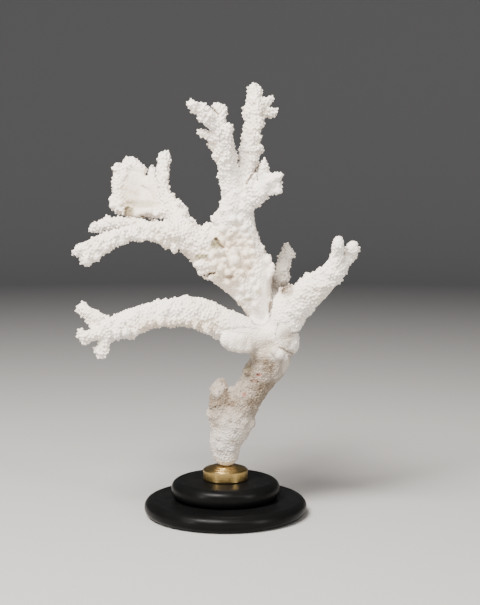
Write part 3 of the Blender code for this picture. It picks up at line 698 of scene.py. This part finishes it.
def add_branchlets(shape, ball, run, share, chance):
    """Stubby branchlets in a golden-angle spiral round a run, leaning towards its end."""
    angle = chance.uniform(0, math.tau)
    travel = 0.0
    due = 0.0
    for (start, radius), (end, _) in zip(run, run[1:]):
        heading = (end - start).normalized()
        side = heading.orthogonal().normalized()
        length = (end - start).length
        travel += length
        while due < travel:
            along = 1 - (travel - due) / length
            outward = Matrix.Rotation(angle, 3, heading) @ side
            lean = BRANCHLET_LEAN * chance.uniform(*LEAN_RANGE)
            growth = outward * math.cos(lean) + heading * math.sin(lean)
            reach = reach_on(radius, share) * chance.uniform(*REACH_RANGE)
            width = width_on(radius) * chance.uniform(*WIDTH_RANGE)
            skin = start.lerp(end, along) + outward * radius
            root = skin - outward * (radius * ROOT_DEPTH)
            tip = skin + growth * (reach * OVERHANG)
            if not on_smooth_place(tip, growth):
                add_lump(shape, ball, root, tip, width, share)
            angle += GOLDEN_ANGLE + chance.uniform(*TURN_RANGE)
            room = math.tau * (radius + reach)
            due += BRANCHLET_SPACING ** 2 / room * chance.uniform(*SPACING_RANGE)


def add_tip_branchlets(shape, ball, run, share, chance):
    """Branchlets spread over the rounded end of a run."""
    end, radius = run[-1]
    heading = (end - run[-2][0]).normalized()
    side = heading.orthogonal().normalized()
    dome = math.tau * radius ** 2
    count = max(3, round(dome / BRANCHLET_SPACING ** 2 * TIP_CROWDING))
    for index in range(count):
        rise = 1 - (index + 0.5) / count
        angle = index * GOLDEN_ANGLE + chance.uniform(*TIP_TURN_RANGE)
        turn = Matrix.Rotation(angle, 3, heading)
        outward = turn @ side * math.sqrt(1 - rise ** 2) + heading * rise
        reach = reach_on(radius, share) * chance.uniform(*TIP_REACH_RANGE)
        add_lump(shape, ball, end, end + outward * (radius + reach), width_on(radius), share)


def add_edge_branchlet(shape, ball, runs, across, height):
    """One branchlet, from the nearest run out to its place in the front view."""
    def distance(knot):
        spot, radius = knot
        return (sight_point(across, height, spot.y / MM) - spot).length - radius

    spot, radius = min((knot for run in runs for knot in run), key=distance)
    tip = sight_point(across, height, spot.y / MM)
    root = spot.lerp(tip, EDGE_ROOT)
    add_lump(shape, ball, root, tip, min(width_on(radius) * EDGE_WIDTH, BRANCHLET_RADIUS))


def coral_growth(workshop):
    """The rough core of the whole coral, and the places and headings along its runs."""
    curve = bpy.data.curves.new("coral_runs", "CURVE")
    curve.dimensions = "3D"
    curve.bevel_depth = MM
    curve.bevel_resolution = 4
    curve.use_fill_caps = True
    shape = bmesh.new()
    ball = unit_ball()
    trail = []
    for number, (name, guide_lists) in enumerate(CORAL_RUNS.items()):
        chance = random.Random(SEED + number)
        share = BRANCHLET_SHARE.get(name, 1.0)
        relief = RELIEF.get(name, USUAL_RELIEF)
        runs = [smooth_run(guides, share) for guides in guide_lists]
        for run in runs:
            spline = curve.splines.new("POLY")
            spline.points.add(len(run) - 1)
            for point, (spot, radius) in zip(spline.points, run):
                point.co = (*spot, 1)
                point.radius = core_radius(radius, share, relief) / MM
            for spot, radius in (run[0], run[-1]):
                size = Matrix.Scale(core_radius(radius, share, relief), 4)
                add_ball(shape, ball, Matrix.Translation(spot) @ size)
            add_branchlets(shape, ball, run, share, chance)
            add_tip_branchlets(shape, ball, run, share, chance)
            for (start, _), (end, _) in zip(run, run[1:]):
                trail.append((start.lerp(end, 0.5), (end - start).normalized()))
        for across, height in EDGE_BRANCHLETS[name]:
            add_edge_branchlet(shape, ball, runs, across, height)
    shape.from_mesh(evaluated_mesh(place("coral_runs", curve, workshop)))
    return mesh_of(shape, "coral_growth"), trail


def fused(mesh, voxel, ease, workshop):
    """One closed skin over a mesh of overlapping shells."""
    rough = place("rough", mesh, workshop)
    remesh = rough.modifiers.new("Fuse", "REMESH")
    remesh.mode = "VOXEL"
    remesh.voxel_size = voxel
    if ease:
        smooth = rough.modifiers.new("Ease", "SMOOTH")
        smooth.factor = 0.5
        smooth.iterations = ease
    return evaluated_mesh(rough)


def node_tree():
    """The nearest-surface tree of the coral's solids, and the node that each of its faces is of."""
    solids = [mesh_arrays(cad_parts[name].data) for name in CORAL_RUNS]
    starts = np.cumsum([0] + [len(spots) for spots, _ in solids])
    spots = np.concatenate([spots for spots, _ in solids])
    tris = np.concatenate([tris + start for (_, tris), start in zip(solids, starts)])
    owners = np.repeat(np.arange(len(solids)), [len(tris) for _, tris in solids])
    return BVHTree.FromPolygons(spots.tolist(), tris.tolist()), owners


def nearest_nodes(spots, tree, owners):
    """The number of the node whose solid is nearest to each place."""
    return owners[[tree.find_nearest(spot)[2] for spot in spots.tolist()]]


def front_view(spots):
    """Where places are seen from the front, in millimetres across and up."""
    scale = (spots[:, 1] - EYE.y) / -EYE.y
    across = (EYE.x + (spots[:, 0] - EYE.x) / scale) / MM
    height = (EYE.z + (spots[:, 2] - EYE.z) / scale) / MM
    return across, height


def within_oval(view, facing, oval):
    """How far places lie within an oval that faces the viewer, from 0 to 1."""
    x, z, half_width, half_height = oval
    inner, outer = OVAL_FADE
    away = np.hypot((view[0] - x) / half_width, (view[1] - z) / half_height)
    return np.clip((outer - away) / (outer - inner), 0, 1) * facing


def facing_viewer(normals, limit=0, rate=2):
    """From 0 on skin turned away by the limit or more to 1 on skin that faces the viewer."""
    return np.clip((limit - normals[:, 1]) * rate, 0, 1)


def covered(view, facing, ovals):
    """How much the ovals count at each place, from 0 to 1."""
    amount = np.zeros(len(facing))
    for *oval, strength in ovals:
        amount = np.maximum(amount, within_oval(view, facing, oval) * strength)
    return amount


def sink_pits(spots, view, normals):
    """Presses the holes and slits into the skin. Gives how much of a hollow each vertex is, which
    is painted as shade.
    """
    hollow = np.zeros(len(spots))
    facing = facing_viewer(normals)
    sight = spots - np.array(EYE)
    sight /= np.linalg.norm(sight, axis=1)[:, None]
    hollows = [(x, z, x, z, radius, depth) for x, z, radius, depth in PITS] + SLITS
    across = view[0] + WAVER * np.sin(view[1] * WAVER_RATES[0])
    height = view[1] + WAVER * np.sin(view[0] * WAVER_RATES[1])
    deep_facing = facing_viewer(normals, DEEP_LIMIT, DEEP_RATE)
    for x, z, end_x, end_z, radius, depth in hollows:
        run_x = end_x - x
        run_z = end_z - z
        length = max(run_x ** 2 + run_z ** 2, 1e-6)
        along = np.clip(((across - x) * run_x + (height - z) * run_z) / length, 0, 1)
        away = np.hypot(across - x - along * run_x, height - z - along * run_z) / radius
        bowl = np.clip(1 - away ** 2, 0, 1) * (deep_facing if depth > DARK_DEPTH else facing)
        spots += sight * (bowl * depth * MM)[:, None]
        hollow = np.maximum(hollow, bowl * min(1, depth / DARK_DEPTH))
    return spots, hollow


def seen_on(skin, across, height):
    """Where a line of sight through the front view meets a skin, the skin's normal there, and the
    line's heading."""
    sight = (sight_point(across, height, 0) - EYE).normalized()
    spot, outward, _, _ = skin.ray_cast(EYE, sight)
    return spot, outward, sight


def add_facing_lumps(core, workshop):
    """The core's skin with its fingers and with the lumps that point at the viewer. Also the place
    and the size of each knob and finger's end, with what is left of its corallites."""
    spots, tris = mesh_arrays(core)
    skin = BVHTree.FromPolygons(spots.tolist(), tris.tolist())
    shape = bmesh.new()
    ball = unit_ball()
    knobs = []
    lumps = [(*knob, KNOB_RISE) for knob in FACING_KNOBS]
    lumps += [(*mound, MOUND_RISE) for mound in MOUNDS]
    for radius, places in FACING_BRANCHLETS.items():
        lumps += [(*branchlet, radius, FACING_BRANCHLET_RISE) for branchlet in places]
    for across, height, radius, rise in lumps:
        spot, outward, sight = seen_on(skin, across, height)
        if spot is None:
            continue
        grow = (outward - sight).normalized()
        size = radius * MM * (EYE - spot).length / (EYE - sight_point(across, height, 0)).length
        centre = spot + grow * (size * (rise - 0.5))
        add_ball(shape, ball, Matrix.Translation(centre) @ Matrix.Scale(size, 4))
        if rise == KNOB_RISE:
            knobs.append((centre, size, KNOB_CORALLITES))
    for across, height, tip_across, tip_height, radius in FINGERS:
        spot, _, sight = seen_on(skin, across, height)
        if spot is None:
            continue
        root = spot + sight * (radius * FINGER_DEPTH * MM)
        tip = sight_point(tip_across, tip_height, root.y / MM)
        add_lump(shape, ball, root, tip, radius * MM)
        end = tip - (tip - root).normalized() * (radius * MM)
        knobs.append((end, radius * MM, FINGER_CORALLITES))
    shape.from_mesh(core)
    return fused(mesh_of(shape, "coral_knobs"), CORE_VOXEL, LUMPY_EASE, workshop), knobs


def corallite_seeds(core, knobs, trail, tree, owners):
    """Where corallites grow: places, directions, radii, heights, and how open their mouths are."""
    spots, _ = mesh_arrays(core)
    normals = triples(core.vertex_normals, "vector")
    nodes = nearest_nodes(spots, tree, owners)
    style = np.array([CORALLITES.get(name, USUAL_CORALLITES) for name in CORAL_RUNS])[nodes]
    left = 1 - covered(front_view(spots), facing_viewer(normals), SMOOTH_PLACES)
    for centre, size, rest in knobs:
        on_knob = np.linalg.norm(spots - np.array(centre), axis=1) < size * KNOB_CLEARANCE
        left[on_knob] = np.minimum(left[on_knob], rest)
    chance = np.random.default_rng(SEED)
    order = chance.permutation(len(spots))
    sparseness = chance.uniform(*CORALLITE_SPACING_RANGE, len(spots))
    near = point_tree(spots.tolist())
    free = np.ones(len(spots), bool)
    chosen = []
    for index in order.tolist():
        if free[index]:
            chosen.append(index)
            room = style[index, 0] * MM * sparseness[index]
            for _, other, _ in near.find_range(spots[index], room):
                free[other] = False
    chosen = np.array(chosen)
    path = point_tree([spot for spot, _ in trail])
    headings = np.array([trail[path.find(spot)[1]][1] for spot in spots[chosen].tolist()])
    outward = normals[chosen]
    forward = headings - outward * (headings * outward).sum(1)[:, None]
    size = chance.uniform(*CORALLITE_SIZE_RANGE, len(chosen))
    lean = np.radians(style[chosen, 3]) * chance.uniform(*CORALLITE_LEAN_RANGE, len(chosen))
    growth = outward * np.cos(lean)[:, None] + forward * np.sin(lean)[:, None]
    growth /= np.linalg.norm(growth, axis=1)[:, None]
    radius = style[chosen, 1] * MM * size
    height = style[chosen, 2] * MM * size * left[chosen]
    return spots[chosen], growth, radius, height, left[chosen]


def corallite_shells(places, growth, radius, height):
    """A closed, round-topped thimble on each seed, rooted in the skin."""
    rings = [(CORALLITE_FOOT, 0, 0)]
    for angle in CORALLITE_TOP_ANGLES:
        bend = math.radians(angle)
        rings.append((math.sin(bend), 1, math.cos(bend) - 1))
    turn = np.arange(CORALLITE_SIDES) * math.tau / CORALLITE_SIDES
    unit = [(0, 0, 0, 0)]
    for width, lengths, radii in rings:
        unit += [(math.cos(t) * width, math.sin(t) * width, lengths, radii) for t in turn]
    unit.append((0, 0, 1, 0))
    unit = np.array(unit)
    top = len(unit) - 1
    faces = []
    for side in range(CORALLITE_SIDES):
        after = (side + 1) % CORALLITE_SIDES
        faces.append((0, 1 + after, 1 + side))
        for low in range(1, top - CORALLITE_SIDES, CORALLITE_SIDES):
            high = low + CORALLITE_SIDES
            faces.append((low + side, low + after, high + after))
            faces.append((low + side, high + after, high + side))
        faces.append((high + side, high + after, top))
    helper = np.where(np.abs(growth[:, :1]) < 0.8, [[1.0, 0, 0]], [[0, 1.0, 0]])
    first = np.cross(growth, helper)
    first /= np.linalg.norm(first, axis=1)[:, None]
    second = np.cross(growth, first)
    wide = radius[:, None, None]
    length = np.maximum(height + CORALLITE_ROOT, radius)[:, None, None]
    roots = (places + growth * (height[:, None] - length[:, :, 0]))[:, None]
    x, y, lengths, radii = (unit[None, :, column:column + 1] for column in range(4))
    spots = (roots + first[:, None] * (x * wide) + second[:, None] * (y * wide)
             + growth[:, None] * (lengths * length + radii * wide))
    tris = np.array(faces)[None] + (np.arange(len(places)) * len(unit))[:, None, None]
    return spots.reshape(-1, 3), tris.reshape(-1, 3)


def open_mouths(spots, places, growth, height, opening):
    """Sinks the mouth of each corallite. Gives how much of a mouth each vertex is, which is also
    painted with shade, and its distance from the nearest corallite's tip, which sets the painted
    shade between the corallites."""
    tips = places + growth * height[:, None]
    near = point_tree(tips.tolist())
    nearest, distance = np.array([near.find(spot)[1:] for spot in spots.tolist()]).T
    nearest = nearest.astype(int)
    mouth = np.clip(1 - (distance / MOUTH_RADIUS) ** 2, 0, 1) * opening[nearest]
    moved = spots - growth[nearest] * (mouth * MOUTH_DEPTH)[:, None]
    return moved, mouth, distance


def keep_inside(spots):
    """Eases the outermost tips into the solids' box."""
    for side, corner in ((1, cad_high), (-1, cad_low)):
        limit = side * np.array(corner) - BOX_MARGIN - BOX_EASE
        over = np.clip(side * spots - limit, 0, None)
        spots -= side * (over - BOX_EASE * (1 - np.exp(-over / BOX_EASE)))
    return spots


def closed_piece(name, spots, tris, values):
    """The mesh of some of the skin's triangles, closed where it was parted from its neighbours. Its
    vertices keep their values, for the materials."""
    used = np.unique(tris)
    number = np.zeros(len(spots), np.int32)
    number[used] = np.arange(len(used))
    mesh = array_mesh(name, spots[used], number[tris])
    for key, numbers in values.items():
        attribute = mesh.attributes.new(key, "FLOAT", "POINT")
        attribute.data.foreach_set("value", np.ascontiguousarray(numbers[used], np.float32))
    shape = bmesh.new()
    shape.from_mesh(mesh)
    rim = [edge for edge in shape.edges if edge.is_boundary]
    bmesh.ops.holes_fill(shape, edges=rim, sides=0)
    caps = [face for face in shape.faces if len(face.verts) > 3]
    bmesh.ops.triangulate(shape, faces=caps)
    shape.to_mesh(mesh)
    shape.free()
    mesh.shade_smooth()
    return mesh


def flat_foot(spots, tris, nodes):
    """The skin without what lies under the foot's flat."""
    low = spots[:, 2] < FOOT_HEIGHT
    spots[low, 2] = FOOT_HEIGHT
    kept = ~low[tris].all(axis=1)
    return spots, tris[kept], nodes[kept]


def drilled(mesh, workshop):
    """The foot's mesh with the blind hole for the pin."""
    shape = bmesh.new()
    bmesh.ops.create_cone(shape, cap_ends=True, segments=DRILL_SEGMENTS, radius1=BORE_RADIUS,
                          radius2=BORE_RADIUS, depth=2 * (PIN_IN_CORAL + GAP),
                          matrix=Matrix.Translation((0, 0, FOOT_HEIGHT)))
    drill = place("drill", mesh_of(shape, "drill"), workshop)
    foot = place("foot", mesh, workshop)
    cut = foot.modifiers.new("Hole", "BOOLEAN")
    cut.operation = "DIFFERENCE"
    cut.object = drill
    return evaluated_mesh(foot)


def grow_coral(workshop):
    """The coral's whole skin: vertices, triangles, the node of each triangle, and the numbers on
    each vertex that its material reads."""
    tree, owners = node_tree()
    growth_mesh, trail = coral_growth(workshop)
    core = fused(growth_mesh, CORE_VOXEL, CORE_EASE, workshop)
    core, knobs = add_facing_lumps(core, workshop)
    seeds = corallite_seeds(core, knobs, trail, tree, owners)
    places, growth, radius, height, opening = seeds
    core_spots, core_tris = mesh_arrays(core)
    shell_spots, shell_tris = corallite_shells(places, growth, radius, height)
    whole = array_mesh("coral_whole", np.concatenate([core_spots, shell_spots]),
                       np.concatenate([core_tris, shell_tris + len(core_spots)]))
    skin = fused(whole, SKIN_VOXEL, 0, workshop)
    spots, tris = mesh_arrays(skin)
    spots, mouth, distance = open_mouths(spots.astype(float), places, growth, height, opening)
    view = front_view(spots)
    normals = triples(skin.vertex_normals, "vector")
    facing = facing_viewer(normals)
    spots, hollow = sink_pits(spots, view, normals)
    spots = keep_inside(spots)
    nodes = nearest_nodes(spots[tris].mean(axis=1), tree, owners)
    spots, tris, nodes = flat_foot(spots, tris, nodes)
    rear = np.zeros(len(spots))
    rear[tris[nodes == list(CORAL_RUNS).index("rear_branch")]] = REAR_WEAR
    wear = np.interp(view[1], WEAR_HEIGHTS, WEAR_AMOUNTS) * facing
    wear += np.interp(view[1], BACK_WEAR_HEIGHTS, BACK_WEAR_AMOUNTS) * (1 - facing)
    wear *= np.interp(view[0], WEAR_SPREAD, (0, 1))
    # Less wear in clean ovals, and painted rim light at the stem's right edge
    wear *= 1 - covered(view, facing, CLEAN_AND_LIT_PLACES)
    # Painted shade between the corallites: darker the farther the skin lies from the nearest
    # corallite's tip
    crevice_shade = np.clip((distance / MM - CREVICE_START) / CREVICE_FADE, 0, 1)
    values = {"mouth": mouth, "crevice_shade": crevice_shade, "wear": np.maximum(wear, rear)}
    # Real stains, and painted shade in the same tints
    for stain_and_shade, ovals in STAINS_AND_SHADES.items():
        values[stain_and_shade] = covered(view, facing, ovals)
    # Painted shade: hollows are darkened with the brown tint, the deeper the darker
    values["brown"] = np.maximum(values["brown"], hollow * HOLLOW_SHADE)
    return spots, tris, nodes, values


def new_material(name):
    material = bpy.data.materials.new(name)
    material.use_nodes = True
    tree = material.node_tree
    return material, tree, tree.nodes["Principled BSDF"]


def feed(tree, socket, value):
    """Sets a socket to a number or a colour, or links another node's output to it."""
    if isinstance(value, bpy.types.NodeSocket):
        tree.links.new(value, socket)
    elif socket.type == "RGBA":
        socket.default_value = (*value, 1)
    else:
        socket.default_value = value


def feed_all(tree, node, inputs):
    for key, value in inputs.items():
        feed(tree, node.inputs[key], value)


def made(tree, kind, output, inputs, **settings):
    """An output of a new shader node, with its settings made and its inputs fed."""
    node = tree.nodes.new("ShaderNode" + kind)
    for key, value in settings.items():
        setattr(node, key, value)
    feed_all(tree, node, inputs)
    return node.outputs[output]


def own_place(tree):
    return made(tree, "TexCoord", "Object", {})


def skin_value(tree, name):
    return made(tree, "Attribute", "Fac", {}, attribute_name=name)


def noise(tree, spot, scale, detail):
    inputs = {"Vector": spot, "Scale": scale, "Detail": detail}
    return made(tree, "TexNoise", "Fac", inputs)


def sums(tree, operation, first, second):
    return made(tree, "Math", 0, {0: first, 1: second}, operation=operation)


def spread(tree, value, low, high, bottom=0.0, top=1.0):
    """A number moved from one range to another, and kept in it."""
    inputs = {"Value": value, "From Min": low, "From Max": high, "To Min": bottom, "To Max": top}
    return made(tree, "MapRange", "Result", inputs)


def blotches(tree, spot, scale, detail, low, high, bottom=0.0, top=1.0):
    """Noise with its middle range spread out."""
    return spread(tree, noise(tree, spot, scale, detail), low, high, bottom, top)


def mixed(tree, factor, first, second, blend="MIX"):
    """A colour mixed from two."""
    inputs = {"Factor": factor, "A": first, "B": second}
    return made(tree, "Mix", "Result", inputs, data_type="RGBA", blend_type=blend)


def bump(tree, height, distance, strength):
    inputs = {"Height": height, "Distance": distance, "Strength": strength}
    return made(tree, "Bump", "Normal", inputs)


def coral_material(name, grit):
    """Bleached skeleton: chalky white, with painted shade in the corallites' mouths and between
    them, worn and stained in places, and with painted shade in the stains' tints in others. The
    grit is the strength of its fine grain."""
    material, tree, shader = new_material(name)
    spot = own_place(tree)
    patches = blotches(tree, spot, 26, 3, 0.38, 0.66)
    colour = mixed(tree, patches, BONE_WHITE, BONE_CREAM)
    ragged = blotches(tree, spot, 60, 6, 0.3, 0.7, -0.28, 0.28)
    speckle = blotches(tree, spot, 620, 3, 0.36, 0.62)
    worn = mixed(tree, speckle, WORN_DARK, WORN_LIGHT)
    worn_edge = sums(tree, "MULTIPLY", ragged, 0.5)
    wear = spread(tree, sums(tree, "ADD", skin_value(tree, "wear"), worn_edge), 0.20, 1.0)
    colour = mixed(tree, wear, colour, worn)
    for stain_and_shade, stain_and_shade_colour in STAIN_AND_SHADE_COLOURS.items():
        value = skin_value(tree, stain_and_shade)
        uneven = sums(tree, "MULTIPLY", value, sums(tree, "ADD", ragged, 0.9))
        colour = mixed(tree, uneven, colour, stain_and_shade_colour)
    # Painted shade: the mouths and the crevices between corallites are darkened with tan tints
    for place_name, (strength, shade_tint) in PAINTED_SHADES.items():
        amount = sums(tree, "MULTIPLY", skin_value(tree, place_name), strength)
        colour = mixed(tree, amount, colour, shade_tint, "MULTIPLY")
    grains = made(tree, "TexVoronoi", "Distance", {"Vector": spot, "Scale": 750.0})
    grain = sums(tree, "SUBTRACT", noise(tree, spot, 1500, 3), grains)
    feed_all(tree, shader, {"Base Color": colour, "Roughness": 0.85, "Specular IOR Level": 0.25,
                            "Normal": bump(tree, grain, 0.0006, grit)})
    return material


def from_axis(tree, spot):
    """How far a place lies from the vertical axis."""
    inputs = {0: spot, 1: (1, 1, 0)}
    flat = made(tree, "VectorMath", "Vector", inputs, operation="MULTIPLY")
    return made(tree, "VectorMath", "Value", {0: flat}, operation="LENGTH")


def lathe_lines(tree, spot, scale):
    """Fine lines along a turned profile, whose length is near enough its radius less its height."""
    height = made(tree, "SeparateXYZ", "Z", {0: spot})
    along = sums(tree, "SUBTRACT", from_axis(tree, spot), height)
    inputs = {"W": along, "Scale": scale, "Detail": 3.0}
    return made(tree, "TexNoise", "Fac", inputs, noise_dimensions="1D")


def lacquer_material():
    """Black satin lacquer on turned wood."""
    material, tree, shader = new_material("lacquer")
    spot = own_place(tree)
    colour = mixed(tree, noise(tree, spot, 35, 3), *LACQUER_BLACKS)
    haze = blotches(tree, spot, 120, 4, 0.3, 0.7, 0.27, 0.38)
    lines = lathe_lines(tree, spot, 900)
    feed_all(tree, shader, {"Base Color": colour, "Roughness": haze, "Specular IOR Level": 0.07,
                            "Normal": bump(tree, lines, 0.0001, 0.06)})
    return material


def metal_material(name, tones, smoothest, roughest):
    """Turned metal with lathe lines and a slight patina."""
    material, tree, shader = new_material(name)
    spot = own_place(tree)
    lines = lathe_lines(tree, spot, 2600)
    patina = blotches(tree, spot, 220, 4, 0.35, 0.75)
    roughness = spread(tree, lines, 0.3, 0.7, smoothest, roughest)
    feed_all(tree, shader, {"Base Color": mixed(tree, patina, *tones), "Metallic": 1.0,
                            "Roughness": roughness, "Normal": bump(tree, lines, 0.0001, 0.35)})
    return material


def stage_material():
    """A painted pool of light: pale where the object stands, and greyer towards the backdrop."""
    material, tree, shader = new_material("stage")
    far = spread(tree, from_axis(tree, own_place(tree)), LIT_POOL_RADIUS, STAGE_RADIUS)
    colour = mixed(tree, far, FLOOR_COLOUR, WALL_COLOUR)
    feed_all(tree, shader, {"Base Color": colour, "Roughness": 0.85})
    return material


def build_coral(workshop, shown):
    """One piece for each node of the coral, cut from one skin."""
    spots, tris, nodes, values = grow_coral(workshop)
    materials = {"coral_bone": coral_material("bone", 0.3),
                 "coral_worn": coral_material("worn", 1.0)}
    for number, name in enumerate(CORAL_RUNS):
        mesh = closed_piece("coral_" + name, spots, tris[nodes == number], values)
        slot = "coral_bone"
        if name == "foot_stem":
            mesh = drilled(mesh, workshop)
            slot = "coral_worn"
        piece = place("coral_" + name, mesh, shown, materials[slot])
        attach(piece, "root")
        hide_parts(name)


def turned(name, profile, workshop, ring=False):
    """A surface turned from a profile of radius and height, smooth but for its creases. A ring's
    profile closes on itself."""
    mesh = bpy.data.meshes.new(name)
    verts = [(radius, 0, height) for radius, height in profile]
    edges = [(index, index + 1) for index in range(len(profile) - 1)]
    if ring:
        edges.append((len(profile) - 1, 0))
    mesh.from_pydata(verts, edges, [])
    item = place(name, mesh, workshop)
    screw = item.modifiers.new("Turn", "SCREW")
    screw.axis = "Z"
    screw.steps = screw.render_steps = TURNED_SEGMENTS
    screw.use_merge_vertices = True
    screw.merge_threshold = 0.00001
    turning = evaluated_mesh(item)
    turning.shade_smooth()
    turning.set_sharp_from_angle(angle=SHARP_CREASE)
    return turning


def rim_arc(centre_x, centre_z, radius, start, end):
    """Points of a turned rim, from one angle above the horizontal to another."""
    points = []
    for step in range(RIM_STEPS + 1):
        angle = math.radians(start + (end - start) * step / RIM_STEPS)
        points.append((centre_x + radius * math.cos(angle), centre_z + radius * math.sin(angle)))
    return points


def build_base(workshop, shown):
    """Two rounded tiers in one turning, with the blind hole for the pin."""
    bottom = BASE_HEIGHT - PIN_IN_BASE
    profile = [(0, bottom), (BORE_RADIUS, bottom), (BORE_RADIUS, BASE_HEIGHT)]
    for radius, rounding, low, high in TIERS:
        profile += rim_arc(radius - rounding, high - rounding, rounding, 90, 0)
        profile += rim_arc(radius - rounding, low + rounding, rounding, 0, -90)
    profile.append((0, 0))
    mesh = turned("base_turning", profile, workshop)
    piece = place("base_turning", mesh, shown, lacquer_material())
    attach(piece, "root")
    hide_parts("turned_base")


def build_collar(workshop, shown):
    """A ring with a plain side and a sloping shoulder of fine rounded rings."""
    foot = BASE_HEIGHT + GAP
    rise = (COLLAR_HEIGHT - COLLAR_SIDE) / COLLAR_RINGS
    run_in = (COLLAR_RADIUS - COLLAR_BEVEL - COLLAR_TOP_RADIUS) / COLLAR_RINGS
    profile = [(BORE_RADIUS, foot + COLLAR_HEIGHT), (COLLAR_TOP_RADIUS, foot + COLLAR_HEIGHT)]
    for ring in range(COLLAR_RINGS):
        inner = COLLAR_TOP_RADIUS + run_in * ring
        top = foot + COLLAR_HEIGHT - rise * ring
        for along, drop in RING_OUTLINE:
            profile.append((inner + run_in * along, top - rise * drop))
        profile.append((inner + run_in - RING_GROOVE, top - rise + RING_GROOVE / 2))
        profile.append((inner + run_in, top - rise))
    profile += [(COLLAR_RADIUS, foot + COLLAR_SIDE - COLLAR_BEVEL),
                (COLLAR_RADIUS, foot + COLLAR_BEVEL), (COLLAR_RADIUS - COLLAR_BEVEL, foot),
                (BORE_RADIUS, foot)]
    mesh = turned("collar_turning", profile, workshop, ring=True)
    brass = metal_material("brass", BRASS_TONES, 0.22, 0.38)
    piece = place("collar_turning", mesh, shown, brass)
    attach(piece, "root")
    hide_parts("brass_collar")


def finish_pin():
    """The pin keeps its solid and gets a drawn steel finish."""
    steel = metal_material("steel", STEEL_TONES, 0.28, 0.42)
    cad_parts["mounting_pin"].material_slots[0].material = steel


def build_stage(workshop):
    """A pale floor that curves up into a backdrop all round."""
    profile = [(0, 0), (STAGE_RADIUS, 0)]
    for step in range(1, STAGE_STEPS + 1):
        bend = math.pi / 2 * step / STAGE_STEPS
        profile.append((STAGE_RADIUS + STAGE_CURVE * math.sin(bend),
                        STAGE_CURVE * (1 - math.cos(bend))))
    profile.append((STAGE_RADIUS + STAGE_CURVE, STAGE_TOP))
    mesh = turned("floor", profile, workshop)
    place("floor", mesh, bpy.context.scene.collection, stage_material())
    world = bpy.data.worlds.new("studio")
    bpy.context.scene.world = world
    world.use_nodes = True
    tree = world.node_tree
    feed_all(tree, tree.nodes["Background"], {"Color": SKY_COLOUR, "Strength": SKY_STRENGTH})


def soft_light(name, spot, target, size, power):
    light = bpy.data.lights.new(name, "AREA")
    light.shape = "RECTANGLE"
    light.size, light.size_y = size
    light.energy = power
    light.color = KEY_COLOUR
    item = place(name, light, bpy.context.scene.collection)
    item.location = spot
    item.rotation_euler = (Vector(target) - Vector(spot)).to_track_quat("-Z", "Y").to_euler()


def build_camera():
    camera = bpy.data.cameras.new("camera")
    camera.lens = EYE_LENS
    camera.sensor_width = SENSOR_WIDTH
    item = place("camera", camera, bpy.context.scene.collection)
    item.location = EYE
    item.rotation_euler = (math.radians(90) - EYE_TILT, 0, 0)
    bpy.context.scene.camera = item


workshop = new_collection("workshop")
shown = new_collection("dressed")
build_camera()
build_coral(workshop, shown)
build_base(workshop, shown)
build_collar(workshop, shown)
finish_pin()
build_stage(workshop)
for light_name, settings in LIGHTS.items():
    soft_light(light_name, *settings)
bpy.data.collections.remove(workshop)
